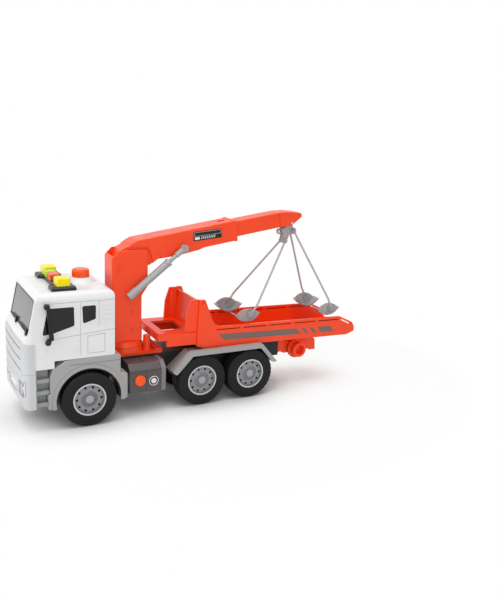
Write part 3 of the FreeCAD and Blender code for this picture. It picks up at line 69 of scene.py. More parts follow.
def srgb(r, g, b):
    """A colour as it looks on a screen, from 0 to 1, turned into the linear light it stands for."""
    c = np.array([r, g, b], float)
    linear = np.where(c <= 0.04045, c / 12.92, ((c + 0.055) / 1.055) ** 2.4)
    return (*linear.tolist(), 1.0)


def unit(vectors):
    """Each vector divided by its length, so that it's one long."""
    return vectors / np.linalg.norm(vectors, axis=-1, keepdims=True)


print("front axle at", spots([0, 0, AXLE_Z]), "m")

# %% [markdown]
# ## Camera
# The photograph looks at the truck's front left corner from about three quarters of a metre
# away. A camera is easiest to aim from three angles: the way round the truck, the height
# above the horizon, and a slight roll. The vector towards the camera follows from the first
# two, the sideways vector is level, and the roll turns both about the line of sight.

# %% Camera at the photograph's angle
AZIMUTH, ELEVATION, ROLL = map(math.radians, (151.02, 14.27, 2.78))
CAMERA_PLACE = (0.3449, 0.7565, 0.3339)
LENS_MM = 42.79
LENS_SHIFT = (0.0018, -0.0039)
back = np.array([math.sin(AZIMUTH) * math.cos(ELEVATION),
                 -math.cos(AZIMUTH) * math.cos(ELEVATION), math.sin(ELEVATION)])
level = unit(np.cross([0, 0, 1], back))
upright = np.cross(back, level)
right = math.cos(ROLL) * level + math.sin(ROLL) * upright
top = np.cross(back, right)


def placed(x_axis, y_axis, z_axis, place):
    """The matrix of a frame with these three unit axes at a place, each axis as a column."""
    return Matrix(np.vstack([np.column_stack([x_axis, y_axis, z_axis, place]), [0, 0, 0, 1]]))


camera = bpy.data.objects.new("camera", bpy.data.cameras.new("camera"))
bpy.context.collection.objects.link(camera)
camera.matrix_world = placed(right, top, back, CAMERA_PLACE)
camera.data.lens = LENS_MM
camera.data.shift_x, camera.data.shift_y = LENS_SHIFT
camera.data.clip_start = 0.01
bpy.context.scene.camera = camera
print("camera looks along", -back.round(3))

# %% [markdown]
# ## Nodes in a few words
# Every finish below is a small graph of shader nodes. Writing each node with all its sockets
# takes many lines, so one helper adds a node and sets its inputs: a value goes into the
# socket, and another node's output is linked to it. The steps that most finishes share, such
# as noise, a bump or darkened corners, are small functions built on it.

# %% A short way to write shader nodes
def node(tree, kind, inputs=None, **settings):
    """Adds a node, sets its settings, and fills its sockets with values or links."""
    made = tree.nodes.new("ShaderNode" + kind)
    for key, value in settings.items():
        setattr(made, key, value)
    for key, value in (inputs or {}).items():
        socket = made.inputs[key]
        if isinstance(value, bpy.types.NodeSocket):
            tree.links.new(value, socket)
        else:
            socket.default_value = value
    return made


def new_material(name):
    """An empty material, its node tree, and the socket that gives the place in metres."""
    material = bpy.data.materials.new(name)
    material.use_nodes = True
    tree = material.node_tree
    tree.nodes.clear()
    return material, tree, node(tree, "TexCoord").outputs["Object"]


def ramp(tree, factor, stops):
    """Colour ramp through (place, colour) stops."""
    made = node(tree, "ValToRGB", {"Fac": factor})
    elements = made.color_ramp.elements
    while len(elements) < len(stops):
        elements.new(0.5)
    for element, (place, colour) in zip(elements, stops):
        element.position, element.color = place, colour
    return made.outputs["Color"]


def grey(value):
    """A grey as a ramp colour, for masks and roughness."""
    return (value, value, value, 1.0)


def shade(colour, factor):
    """The colour with its three parts multiplied by a factor, and no part above 1."""
    return tuple(min(1.0, c * factor) for c in colour[:3]) + (1.0,)


def noise(tree, place, scale, detail):
    """Soft noise from 0 to 1; scale is the number of clouds in a metre."""
    cloud = node(tree, "TexNoise", {"Vector": place, "Scale": scale, "Detail": detail})
    return cloud.outputs["Fac"]


def spread(tree, factor, low, high, start=0.3, end=0.7):
    """Grey ramp from low to high as the factor goes from start to end."""
    return ramp(tree, factor, [(start, grey(low)), (end, grey(high))])


def bump(tree, height, strength, distance):
    """Surface direction tilted by the slope of a height."""
    tilt = node(tree, "Bump", {"Height": height, "Strength": strength, "Distance": distance})
    return tilt.outputs["Normal"]


def distance_from(tree, place, scale, location=(0.0, 0.0, 0.0)):
    """Length of scale * place + location, in metres."""
    moved = node(tree, "Mapping", {"Vector": place, "Location": location, "Scale": scale})
    length = node(tree, "VectorMath", {0: moved.outputs["Vector"]}, operation="LENGTH")
    return length.outputs["Value"]


def open_share(tree, reach):
    """Share of the directions that meet nothing within reach, in metres."""
    return node(tree, "AmbientOcclusion", {"Distance": reach}, samples=8).outputs["AO"]


def painted_corner_shade(tree, tint, reach, shut, dark, clear):
    """Tint times a painted shade: a grey that is dark where the open share is shut or less, 1 where
    it is clear.
    """
    shade_grey = spread(tree, open_share(tree, reach), dark, 1.0, shut, clear)
    corner_shade_mix = node(tree, "Mix", {"Factor": 1.0, 6: tint, 7: shade_grey}, data_type="RGBA",
                blend_type="MULTIPLY")
    return corner_shade_mix.outputs[2]


def combine(tree, first, second, operation):
    """Two numbers put together by a Math node's operation."""
    return node(tree, "Math", {0: first, 1: second}, operation=operation).outputs["Value"]


def sight_lines(tree):
    """1 for rays that show the scene: from the camera, off a mirror or through glass."""
    path = node(tree, "LightPath").outputs
    direct = combine(tree, path["Is Camera Ray"], path["Is Glossy Ray"], "MAXIMUM")
    return combine(tree, direct, path["Is Transmission Ray"], "MAXIMUM")


def principled(tree, inputs):
    """Ends a finish with the Principled shader and these inputs."""
    shader = node(tree, "BsdfPrincipled", inputs)
    node(tree, "OutputMaterial", {"Surface": shader.outputs["BSDF"]})


print("node helpers ready")

# %% [markdown]
# ## Moulded plastic
# A moulded toy shell is one colour all the way through, but it never looks flat: the mould
# leaves a slight orange-peel, the gloss changes a little where the plastic flowed and cooled,
# and fingers dull it in places. Large soft noise shifts the colour by a few per cent, medium
# noise varies the roughness, and very fine noise drives a weak bump. Noise in the object's own
# coordinates needs no unwrapping, unlike a painted image. An ambient occlusion node with a
# reach of under two millimetres finds mould lines and tight corners, and painted shade
# darkens the colour there.

# %% Moulded plastic
def plastic(name, colour, rough, coat, peel, shift):
    """Colour = base shifted both ways by soft noise, times painted shade in tight corners.

    Peel is the strength of the fine bump."""
    material, tree, place = new_material(name)
    tint = ramp(tree, noise(tree, place, 22.0, 3.0),
                [(0.3, shade(colour, 1 - shift)), (0.7, shade(colour, 1 + shift))])
    principled(tree, {
        # painted shade in mould lines and tight corners
        "Base Color": painted_corner_shade(tree, tint, reach=0.0016, shut=0.15, dark=0.45, clear=0.6),
        "Roughness": spread(tree, noise(tree, place, 70.0, 4.0), rough * 0.82, rough * 1.2),
        "Normal": bump(tree, noise(tree, place, 900.0, 2.0), peel, 0.0004),
        "Specular IOR Level": 0.35, "Coat Weight": coat, "Coat Roughness": 0.12})
    return material


SHELL_WHITE = plastic("shell_white", srgb(0.9, 0.9, 0.905), 0.3, 0.15, 0.03, 0.012)
CRANE_RED = plastic("crane_orange_red", srgb(1.0, 0.28, 0.085), 0.32, 0.08, 0.05, 0.05)
TRIM_GREY = plastic("trim_light_grey", srgb(0.79, 0.795, 0.8), 0.42, 0.04, 0.12, 0.03)
GUARD_GREY = plastic("guard_grey", srgb(0.64, 0.64, 0.635), 0.42, 0.04, 0.12, 0.03)
STEP_GREY = plastic("step_grey", srgb(0.6, 0.61, 0.605), 0.45, 0.03, 0.14, 0.04)
BOX_GREY = plastic("box_dark_grey", srgb(0.33, 0.31, 0.31), 0.32, 0.1, 0.05, 0.05)
CAP_GREY = plastic("box_cap_grey", srgb(0.49, 0.48, 0.49), 0.38, 0.1, 0.06, 0.04)
FRAME_BLACK = plastic("frame_black", srgb(0.11, 0.105, 0.105), 0.45, 0.02, 0.14, 0.1)
GLOSS_BLACK = plastic("gloss_black", srgb(0.035, 0.033, 0.035), 0.3, 0.06, 0.04, 0.1)
SHADOW_RED = plastic("shadow_red", srgb(0.5, 0.1, 0.04), 0.4, 0.02, 0.05, 0.05)
BUTTON_ORANGE = plastic("button_orange", srgb(1.0, 0.33, 0.05), 0.3, 0.08, 0.04, 0.03)
FILM_GREY = plastic("film_grey_brown", srgb(0.47, 0.39, 0.365), 0.35, 0.1, 0.02, 0.03)
print("plastics:", len(bpy.data.materials))

# %% [markdown]
# ## Silvery plastic and steel
# The cylinder is grey plastic with a metallic pigment: the flakes give a soft sheen that
# plain paint lacks. A Voronoi pattern of small cells stands for them. The axles and pins are
# drawn steel, with fine lines along the bar, so their noise is stretched across the truck,
# which is along each pin. The lamp bowls have a bright plated coat.

# %% Silver plastic and pin steel
def metal(name, colour, metallic, rough, stretch):
    """Metal with flakes of brighter tint; y times stretch draws its fine noise out into lines."""
    material, tree, place = new_material(name)
    drawn = node(tree, "Mapping", {"Vector": place, "Scale": (1.0, stretch, 1.0)})
    lines = noise(tree, drawn.outputs["Vector"], 600.0, 3.0)
    flake = node(tree, "TexVoronoi", {"Vector": place, "Scale": 2600.0})
    principled(tree, {
        "Base Color": ramp(tree, flake.outputs["Distance"],
                           [(0.0, shade(colour, 1.04)), (0.8, colour)]),
        "Roughness": spread(tree, lines, rough * 0.8, rough * 1.25), "Metallic": metallic,
        "Normal": bump(tree, lines, 0.06, 0.0003)})
    return material


RAM_SILVER = metal("ram_silver", srgb(0.62, 0.63, 0.63), 0.2, 0.36, 1.0)
PIN_STEEL = metal("pin_steel", srgb(0.72, 0.72, 0.73), 1.0, 0.3, 0.05)
LAMP_SILVER = metal("lamp_silver", srgb(0.86, 0.86, 0.87), 0.9, 0.2, 1.0)
print("metals:", [m.name for m in (RAM_SILVER, PIN_STEEL, LAMP_SILVER)])

# %% [markdown]
# ## Rubber
# A toy's tyres are soft black vinyl. They are matt and slightly dusty. Dust settles unevenly,
# so noise lightens the colour in places and makes it duller there.

# %% Tyre rubber
def rubber(name):
    """Matt black: one noise mixes black with dusty grey and dulls it, a finer one is the bump."""
    material, tree, place = new_material(name)
    dust = noise(tree, place, 55.0, 6.0)
    principled(tree, {
        "Base Color": ramp(tree, dust, [(0.35, srgb(0.06, 0.058, 0.056)),
                                        (0.75, srgb(0.11, 0.107, 0.104))]),
        "Roughness": spread(tree, dust, 0.5, 0.72, end=0.75),
        "Normal": bump(tree, noise(tree, place, 1500.0, 2.0), 0.18, 0.0003),
        "Specular IOR Level": 0.25})
    return material


TYRE_RUBBER = rubber("tyre_rubber")
print("rubber:", TYRE_RUBBER.name)

# %% [markdown]
# ## Rims with a brighter lip
# The rims are mid-grey plastic with a darker band round the hub, and a painted highlight
# lightens the outer ring where it would catch the light. The solid is one piece, so the bands
# are found by distance from the axle: a Mapping node moves the axle to the origin and flattens
# the width, and the length of what is left is the radius. Painted shade darkens the holes and
# the hub's corners, as it does the corners of the shell.

# %% Rim plastic, one finish per axle
RIM_OUTER = 0.0182
# The last stop, the bright outer ring, is a painted highlight.
RIM_BANDS = [(0.0, srgb(0.64, 0.645, 0.655)), (0.25, srgb(0.62, 0.625, 0.635)),
             (0.29, srgb(0.44, 0.445, 0.455)), (0.46, srgb(0.48, 0.485, 0.495)),
             (0.56, srgb(0.57, 0.575, 0.585)), (0.86, srgb(0.52, 0.525, 0.535)),
             (0.92, srgb(0.8, 0.805, 0.81))]


def rim_finish(name, axle_d):
    """Colour by the radius sqrt(x^2 + z^2) from the axle, as a share of the rim's radius."""
    material, tree, place = new_material(name)
    axle = spots([axle_d, 0, AXLE_Z])
    radius = distance_from(tree, place, (1.0, 0.0, 1.0), (-axle[0], 0, -axle[2]))
    share = node(tree, "MapRange", {"Value": radius, "From Max": RIM_OUTER})
    smear = noise(tree, place, 260.0, 4.0)
    tint = ramp(tree, share.outputs["Result"], RIM_BANDS)
    principled(tree, {
        # painted shade in the holes and the hub's corners
        "Base Color": painted_corner_shade(tree, tint, reach=0.006, shut=0.25, dark=0.12, clear=0.85),
        "Roughness": spread(tree, smear, 0.26, 0.42), "Metallic": 0.2, "Coat Weight": 0.2,
        "Coat Roughness": 0.15, "Normal": bump(tree, smear, 0.05, 0.0004)})
    return material


RIMS = {key: rim_finish("rim_" + key, d) for key, d in AXLE_D.items()}
print("rim finishes:", list(RIMS))

# %% [markdown]
# ## Clear and smoky plastic
# The lamps on the roof are tinted clear plastic, and the hook, straps and wheel trays are a
# smoky grey that lets some light through. Transmission in the Principled shader does that: a
# share of the light passes and takes the colour, the rest scatters as in plain plastic.

# %% Tinted see-through plastic
def tinted(name, colour, through, rough):
    """Plastic that passes a share of the light; one soft noise varies colour and gloss."""
    material, tree, place = new_material(name)
    cloud = noise(tree, place, 90.0, 3.0)
    principled(tree, {
        "Base Color": ramp(tree, cloud, [(0.3, shade(colour, 0.92)), (0.7, colour)]),
        "Roughness": spread(tree, cloud, rough * 0.8, rough * 1.3), "IOR": 1.46,
        "Transmission Weight": through, "Specular IOR Level": 0.25, "Coat Weight": 0.08,
        "Coat Roughness": 0.08})
    return material


LENS_YELLOW = tinted("lens_yellow", srgb(1.0, 0.92, 0.0), 0.06, 0.24)
LENS_GREEN = tinted("lens_green", srgb(0.74, 0.93, 0.18), 0.15, 0.22)
LENS_ORANGE = tinted("lens_orange", srgb(1.0, 0.4, 0.1), 0.15, 0.22)
SMOKE = tinted("smoke_plastic", srgb(0.74, 0.73, 0.735), 0.35, 0.25)
STRAP = tinted("strap_plastic", srgb(0.77, 0.76, 0.76), 0.2, 0.25)
LAMP_CLEAR = tinted("lamp_clear", srgb(0.96, 0.96, 0.97), 0.85, 0.08)
print("finishes so far:", len(bpy.data.materials))

# %% [markdown]
# ## Windows
# The panes are dark tinted plastic with nothing lit behind them, so they read as near-black
# with a clean gloss. The windscreen leans back and shows a grey, a little darker towards its
# top: the reflection of the bright studio above. That reflection is painted into the pane's
# own tint here, as a ramp over its height, so it stays put when the view changes.

# %% Window tint
def window(name, stops):
    """Glossy dark pane: colour by height z through a ramp of (metres, colour) stops."""
    material, tree, place = new_material(name)
    height = node(tree, "SeparateXYZ", {"Vector": place}).outputs["Z"]
    wave = noise(tree, place, 35.0, 2.0)
    low, high = stops[0][0], stops[-1][0]
    share = node(tree, "MapRange", {"Value": height, "From Min": low, "From Max": high})
    principled(tree, {
        "Base Color": ramp(tree, share.outputs["Result"],
                           [((z - low) / (high - low), colour) for z, colour in stops]),
        "Roughness": spread(tree, wave, 0.08, 0.16), "Specular IOR Level": 0.3,
        "Coat Weight": 0.1, "Coat Roughness": 0.05,
        "Normal": bump(tree, wave, 0.04, 0.0006)})
    return material


SIDE_GLASS = window("side_glass", [(0.104, srgb(0.07, 0.066, 0.07)),
                                   (0.136, srgb(0.09, 0.086, 0.086))])
# The windscreen's grey stops are a painted reflection of the studio, darker towards the top.
SCREEN_GLASS = window("screen_glass", [(0.107, srgb(0.45, 0.44, 0.45)),
                                       (0.124, srgb(0.43, 0.42, 0.415)),
                                       (0.143, srgb(0.38, 0.37, 0.36))])
print("panes:", SIDE_GLASS.name, SCREEN_GLASS.name)

# %% [markdown]
# ## Every solid gets its finish
# One table says which solid is made of what. Where a name has a longer form, such as a left
# and a right piece, its beginning is enough.

# %% Finishes for the solids
FINISHES = {
    "cab_shell": SHELL_WHITE, "windscreen": SCREEN_GLASS, "side_windows": SIDE_GLASS,
    "grille": TRIM_GREY, "bumper": TRIM_GREY, "fender": GUARD_GREY, "mudguard": GUARD_GREY,
    "steps": STEP_GREY, "light_bar_base": GLOSS_BLACK, "light_lens_yellow": LENS_YELLOW,
    "light_lens_green": LENS_GREEN, "light_lens_orange": LENS_ORANGE,
    "roof_button": BUTTON_ORANGE, "mirrors": GLOSS_BLACK, "control_box": BOX_GREY,
    "box_end_caps": CAP_GREY, "sound_button": BUTTON_ORANGE, "chassis_frame": FRAME_BLACK,
    "crane_base": CRANE_RED, "mast": CRANE_RED, "boom_outer": CRANE_RED,
    "boom_inner": CRANE_RED, "bed": CRANE_RED, "headboard": CRANE_RED,
    "rear_bracket": CRANE_RED, "ram": RAM_SILVER, "axle": PIN_STEEL, "boom_pin": CRANE_RED,
    "hook_pin": PIN_STEEL, "hook_block": SMOKE, "tray": SMOKE, "sling": STRAP,
    "rims_front": RIMS["front"], "rims_middle": RIMS["middle"], "rims_rear": RIMS["rear"],
    "tyres": TYRE_RUBBER,
}
for name, solid in NODES.items():
    key = max((k for k in FINISHES if name.startswith(k)), key=len)
    solid.data.materials.clear()
    solid.data.materials.append(FINISHES[key])
print("finished solids:", len(NODES))

# %% [markdown]
# ## Surfaces from grids
# The added trim is made of surfaces: points on a grid of two parameters, worked out as one
# array, then joined into four-sided faces. Boxes and cylinders could be cut and bevelled into
# the same pieces, but a grid holds every edge where its formula puts it and leaves no stray
# faces. A grid may close on itself in one direction, as a tube does, or in both, as a tyre
# does, and a tube's ends are closed with a cap.

# %% From a grid of points to a mesh
def surface(name, grid, finish, body, wrap=(False, False), caps=False, smooth=True):
    """Mesh of a grid of points, shape (rows, columns, 3); wrap closes rows or columns.

    With no body named, the mesh is part of the stage and belongs to no moving piece."""
    rows, cols = grid.shape[:2]
    index = np.arange(rows * cols).reshape(rows, cols)
    if wrap[0]:
        index = np.vstack([index, index[:1]])
    if wrap[1]:
        index = np.hstack([index, index[:, :1]])
    quads = np.stack([index[:-1, :-1], index[1:, :-1], index[1:, 1:], index[:-1, 1:]], -1)
    faces = quads.reshape(-1, 4).tolist()
    if caps:
        faces += [list(range(cols)), list(range(rows * cols - 1, rows * cols - cols - 1, -1))]
    mesh = bpy.data.meshes.new(name)
    mesh.from_pydata(grid.reshape(-1, 3).tolist(), [], faces)
    if caps or all(wrap):
        closed = bmesh.new()
        closed.from_mesh(mesh)
        bmesh.ops.recalc_face_normals(closed, faces=closed.faces)
        closed.to_mesh(mesh)
        closed.free()
    mesh.polygons.foreach_set("use_smooth", [smooth] * len(mesh.polygons))
    mesh.materials.append(finish)
    piece = bpy.data.objects.new(name, mesh)
    bpy.context.collection.objects.link(piece)
    if body:
        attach(piece, body)
    return piece


def join_pieces(name, pieces, body):
    """One piece from several of one finish: their points and faces are put into one mesh."""
    joined = bmesh.new()
    for piece in pieces:
        joined.from_mesh(piece.data)
    merged = bpy.data.meshes.new(name)
    joined.to_mesh(merged)
    joined.free()
    merged.materials.append(pieces[0].data.materials[0])
    for piece in pieces:
        bpy.data.objects.remove(piece)
    whole = bpy.data.objects.new(name, merged)
    bpy.context.collection.objects.link(whole)
    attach(whole, body)
    return whole


print("surface helper ready")

# %% [markdown]
# ## Tyre tread
# A tyre is a profile turned about its axle. Around the middle of the tread the radius drops
# into grooves: two run round the tyre, and short ones cross it in a slanted pattern. Cutting
# them out of a plain ring would leave hundreds of ragged little faces. Here each groove is a
# smooth dip in the radius, so the surface stays one clean grid.

# %% Six treaded tyres
def dip(value, width, soft):
    """1 inside |value| < width and 0 outside, with a smooth edge soft wide."""
    t = np.clip((width + soft - np.abs(value)) / soft, 0, 1)
    return t * t * (3 - 2 * t)


TYRE_R, TYRE_BORE, TYRE_WIDE, SHOULDER = 30.5, 18.1, 20.0, 3.0
WALL_R = np.array([27.2, 26.8, 26.2, 25.8, 24.0, 21.0, 19.4, 18.9])
WALL_IN = np.array([0.0, 0.28, 0.28, 0.0, 0.0, 0.0, 0.1, 0.0])
BEAD = 0.7                     # the bore's edges lie this far inside the walls
LUGS = 36
LUG_SKEW = 0.06                # turns of the pattern a mm away from the middle
GROOVE_DEPTH = 0.9
GROOVE_Y = 2.9                 # grooves round the tyre, off its middle
STEPS_ROUND = 288


def tyre(axle_d, outer_y, side):
    """Closed profile turned by angle a: the tread's radius is R minus the groove dips."""
    turn = np.linspace(0, math.pi / 2, 7)
    tread = np.linspace(SHOULDER, TYRE_WIDE - SHOULDER, 25)[1:-1]
    far = TYRE_WIDE - SHOULDER
    low = TYRE_R - SHOULDER
    across = np.concatenate([WALL_IN[::-1], SHOULDER - SHOULDER * np.cos(turn), tread,
                             far + SHOULDER * np.sin(turn), TYRE_WIDE - WALL_IN,
                             [TYRE_WIDE - BEAD, BEAD]])[None, :]
    plain_r = np.concatenate([WALL_R[::-1], low + SHOULDER * np.sin(turn),
                              np.full(tread.size, TYRE_R), low + SHOULDER * np.cos(turn),
                              WALL_R, [TYRE_BORE, TYRE_BORE]])[None, :]
    angle = np.linspace(0, 2 * math.pi, STEPS_ROUND, endpoint=False)[:, None]
    off = across - TYRE_WIDE / 2
    phase = (LUGS * angle / (2 * math.pi) + LUG_SKEW * np.abs(off)) % 1.0
    on_tread = dip(off, TYRE_WIDE / 2 - 1.6, 1.4) * (plain_r > TYRE_R - 2.4)
    crosswise = dip(phase - 0.5, 0.07, 0.06) * dip(off, TYRE_WIDE / 2, 0.1)
    lengthwise = dip(np.abs(off) - GROOVE_Y, 0.35, 0.4)
    rib = dip(off, 2.2, 0.5)
    r = plain_r - GROOVE_DEPTH * on_tread * np.maximum(crosswise * (1 - rib), lengthwise)
    y = (outer_y - TYRE_WIDE + across) * side + 0 * angle
    grid = spots(np.stack([axle_d - r * np.cos(angle), y, AXLE_Z + r * np.sin(angle)], -1))
    return grid if side < 0 else grid[::-1]


for key, axle_d in AXLE_D.items():
    body = key + "_wheels"
    halves = [surface("tyre", tyre(axle_d, TYRE_OUT_Y[key], side), TYRE_RUBBER, body,
                      (True, True)) for side in BOTH_SIDES]
    treaded = join_pieces("treaded_tyres_" + key, halves, body)
    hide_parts("tyres_" + key)
    print(treaded.name, len(treaded.data.polygons), "faces")

# %% [markdown]
# ## Thin plates and turned discs
# Most of the trim is one of two things: a thin plate lying on a panel, such as a sticker, a
# wiper arm or a number plate, or a small round thing, such as a screw or a button. A plate is
# an outline with rounded corners, lifted off its panel, with its top edge drawn in a little
# so that it catches light as a real edge does. A round thing is a profile swung about an axis.

# %% Helpers for plates and discs
def moved_in(corners, width):
    """Corners of the outline a width inside: P + width (u + v) / sin(angle between u and v)."""
    p = np.asarray(corners, float)
    u, v = unit(np.roll(p, 1, 0) - p), unit(np.roll(p, -1, 0) - p)
    sine = np.linalg.norm(np.cross(u, v), axis=-1, keepdims=True)
    return p + width * (u + v) / sine


CORNER_POINTS = 5


def rounded(corners, radius):
    """Each corner P becomes (1-t)^2 A + 2t(1-t) P + t^2 B, with A and B radius to its sides."""
    p = np.asarray(corners, float)
    a = p + radius * unit(np.roll(p, 1, 0) - p)
    b = p + radius * unit(np.roll(p, -1, 0) - p)
    t = np.linspace(0, 1, CORNER_POINTS)[None, :, None]
    curve = (1 - t) ** 2 * a[:, None] + 2 * t * (1 - t) * p[:, None] + t ** 2 * b[:, None]
    return curve.reshape(-1, 3)


PLATE_SUNK = 0.1               # a plate's foot lies this far inside its panel


def plate(name, corners, out, thick, finish, body, radius, edge=0.12):
    """Thin plate: outline rows sunk, raised, and raised with the edge drawn in, then capped."""
    out = unit(np.asarray(out, float))
    rim, top = rounded(corners, radius), rounded(moved_in(corners, edge), radius)
    grid = np.stack([rim - PLATE_SUNK * out, rim + (thick - edge) * out, top + thick * out])
    return surface(name, spots(grid), finish, body, (False, True), caps=True, smooth=False)


def flat_frame(name, corners, out, width, thick, finish, body, radius):
    """Flat frame: the outline and the same outline moved in, each at two heights."""
    out = unit(np.asarray(out, float))
    outer = rounded(corners, radius)
    inner = rounded(moved_in(corners, width), max(radius - width, 0.1))
    grid = np.stack([outer, outer + thick * out, inner + thick * out, inner])
    return surface(name, spots(grid), finish, body, (True, True), smooth=False)


def turned(name, profile, centre, out, finish, body, steps=40, hoop=False):
    """Profile of (radius, height) swung by angle a: centre + r (u cos a + v sin a) + h out.

    A hoop's profile closes on itself; any other has a cap at each end."""
    out = unit(np.asarray(out, float))
    u = unit(np.cross(out, [0.3, 0.2, 1.0]))
    v = np.cross(out, u)
    r, h = np.asarray(profile, float).T[:, :, None, None]
    a = np.linspace(0, 2 * math.pi, steps, endpoint=False)[None, :, None]
    grid = np.asarray(centre, float) + r * (u * np.cos(a) + v * np.sin(a)) + h * out
    return surface(name, spots(grid), finish, body, (hoop, True), caps=not hoop)


print("plate and disc helpers ready")

# %% [markdown]
# ## Windscreen trim
# The screen sits in a black rubber seal, and two wipers lie along its foot. Each wiper is a
# thin blade, an arm just above it, and a block that stands out where the arm turns. All of
# them follow the slope of the glass, so a helper gives places on the glass by height.

# %% Seal and wipers
SCREEN_FOOT_D, SCREEN_FOOT_Z = -61.9, 107.0
SCREEN_LEAN = 0.2133           # mm back for a mm up
SCREEN_OUT = (-1.0, 0.0, SCREEN_LEAN)


def on_screen(pairs):
    """Places (y, z) on the windscreen's outer face: d = foot + lean (z - height of the foot)."""
    y, z = np.asarray(pairs, float).T
    return np.stack([SCREEN_FOOT_D + SCREEN_LEAN * (z - SCREEN_FOOT_Z), y, z], -1)


def bar(name, start, end, width, thick):
    """Straight black bar on the glass from start to end, as a plate of the given width."""
    (y0, z0), (y1, z1) = start, end
    lean = np.array([z0 - z1, y1 - y0])
    y, z = 0.5 * width * lean / np.hypot(*lean)
    ends = on_screen([(y0 - y, z0 - z), (y1 - y, z1 - z), (y1 + y, z1 + z), (y0 + y, z0 + z)])
    return plate(name, ends, SCREEN_OUT, thick, GLOSS_BLACK, "chassis", 0.25)


pane = on_screen([(-44.9, 108.1), (44.9, 108.1), (44.9, 143.4), (-44.9, 143.4)])
seal = flat_frame("screen_seal", pane, SCREEN_OUT, 1.8, 0.35, GLOSS_BLACK, "chassis", 3.0)
wipers = []
for tip_y, turn_y in ((-43.5, -9.5), (-4.5, 41.0)):
    foot = on_screen([(turn_y - 1.8, 106.0), (turn_y + 1.8, 106.4), (turn_y + 1.4, 113.6),
                      (turn_y - 1.4, 113.4)])
    wipers += [bar("blade", (tip_y, 109.3), (turn_y - 6.0, 108.7), 1.1, 1.2),
               bar("arm", (tip_y + 8.0, 110.9), (turn_y, 112.3), 0.8, 1.7),
               plate("foot", foot, SCREEN_OUT, 2.4, GLOSS_BLACK, "chassis", 0.8, 0.4)]
wipers = join_pieces("wipers", wipers, "chassis")
print("wipers:", len(wipers.data.polygons), "faces")

# %% [markdown]
# ## Lamps and the blank number plate
# The head lamps sit in shallow recesses of the bumper: two silvery bowls behind a clear
# cover. A narrow white strip, a painted highlight, fills the slot on each corner of the
# bumper, and a blank white plate with two screws fills the middle recess. Each bowl is a turned
# profile with a raised lip, since a flat silver disc would reflect one thing only, and a bowl
# shows a glint.

# %% Head lamps, corner strips and number plate
AHEAD = (-1.0, 0.0, 0.0)
LAMP_BED_D = -67.5             # floor of the lamps' recesses
BOWL_Z = 49.0
BOWL = [(1.2, 0.1), (2.6, 0.25), (4.2, 0.75), (4.6, 0.8), (4.9, 0.55), (4.9, -0.2), (1.2, -0.2)]
COVER = [(29.7, 41.7), (44.6, 41.7), (44.6, 56.3), (31.0, 56.3)]
STRIP = [(-67.5, 43.1), (-66.3, 43.1), (-66.3, 57.9), (-67.5, 57.9)]
STRIP_Y = 46.6
NUMBER_D, SCREW_D = -68.6, -69.2
NUMBER = [(-19.2, 38.8), (19.2, 38.8), (19.2, 48.2), (-19.2, 48.2)]
SCREW = [(0.3, 0.45), (0.9, 0.55), (1.2, 0.4), (1.35, 0.0), (1.35, -0.2)]
bowls, covers, strips = [], [], []
for side in BOTH_SIDES:
    bowls += [turned("bowl", BOWL, (LAMP_BED_D + 0.1, side * y, BOWL_Z), AHEAD, LAMP_SILVER,
                     "chassis") for y in (34.8, 41.0)]
    cover = [(LAMP_BED_D, side * y, z) for y, z in COVER]
    covers.append(plate("cover", cover, AHEAD, 1.0, LAMP_CLEAR, "chassis", 1.6, 0.4))
    # The strip's white is a painted highlight in the corner slot.
    strip = [(d, side * STRIP_Y, z) for d, z in STRIP]
    strips.append(plate("strip", strip, (0, side, 0), 0.7, SHELL_WHITE, "chassis", 0.3))
bowls = join_pieces("lamp_bowls", bowls, "chassis")
covers = join_pieces("lamp_covers", covers, "chassis")
strips.append(plate("number", [(NUMBER_D, y, z) for y, z in NUMBER], AHEAD, 0.6, SHELL_WHITE,
                    "chassis", 1.4, 0.25))
strips = join_pieces("bumper_strips_and_plate", strips, "chassis")
screws = [turned("screw", SCREW, (SCREW_D, side * 16.0, 43.5), AHEAD, PIN_STEEL, "chassis", 20)
          for side in BOTH_SIDES]
screws = join_pieces("number_plate_screws", screws, "chassis")
print("lamp trim:", [len(p.data.polygons) for p in (bowls, covers, strips, screws)])

# %% [markdown]
# ## Blank plate on the boom
# On each side of the boom sits a black plate with a thin pale frame, a pale block and a row of
# slanted bars. A picture of them could be laid over the plate, but thin raised shapes stay
# sharp from near by. Places on the plate are given by two shares, s along it and t up it,
# mixed between its four corners.

# %% Boom plates
PLATE_CORNERS = [(133.4, 191.0), (169.3, 194.6), (168.9, 205.1), (133.1, 201.9)]
BOOM_SIDE_Y = 14.0


def on_plate(shares, side):
    """(1-t)((1-s) P0 + s P1) + t((1-s) P3 + s P2) between the plate's corners."""
    s, t = np.asarray(shares, float).T[:, :, None]
    p0, p1, p2, p3 = np.array(PLATE_CORNERS)[:, None]
    d, z = ((1 - t) * ((1 - s) * p0 + s * p1) + t * ((1 - s) * p3 + s * p2)).T
    return np.stack([d, np.full(d.size, side * BOOM_SIDE_Y), z], -1)


def block(s0, s1, t0, t1, slant=0.0):
    """Corners of a block in shares of the plate, its top moved along by slant."""
    return [(s0, t0), (s1, t0), (s1 + slant, t1), (s0 + slant, t1)]


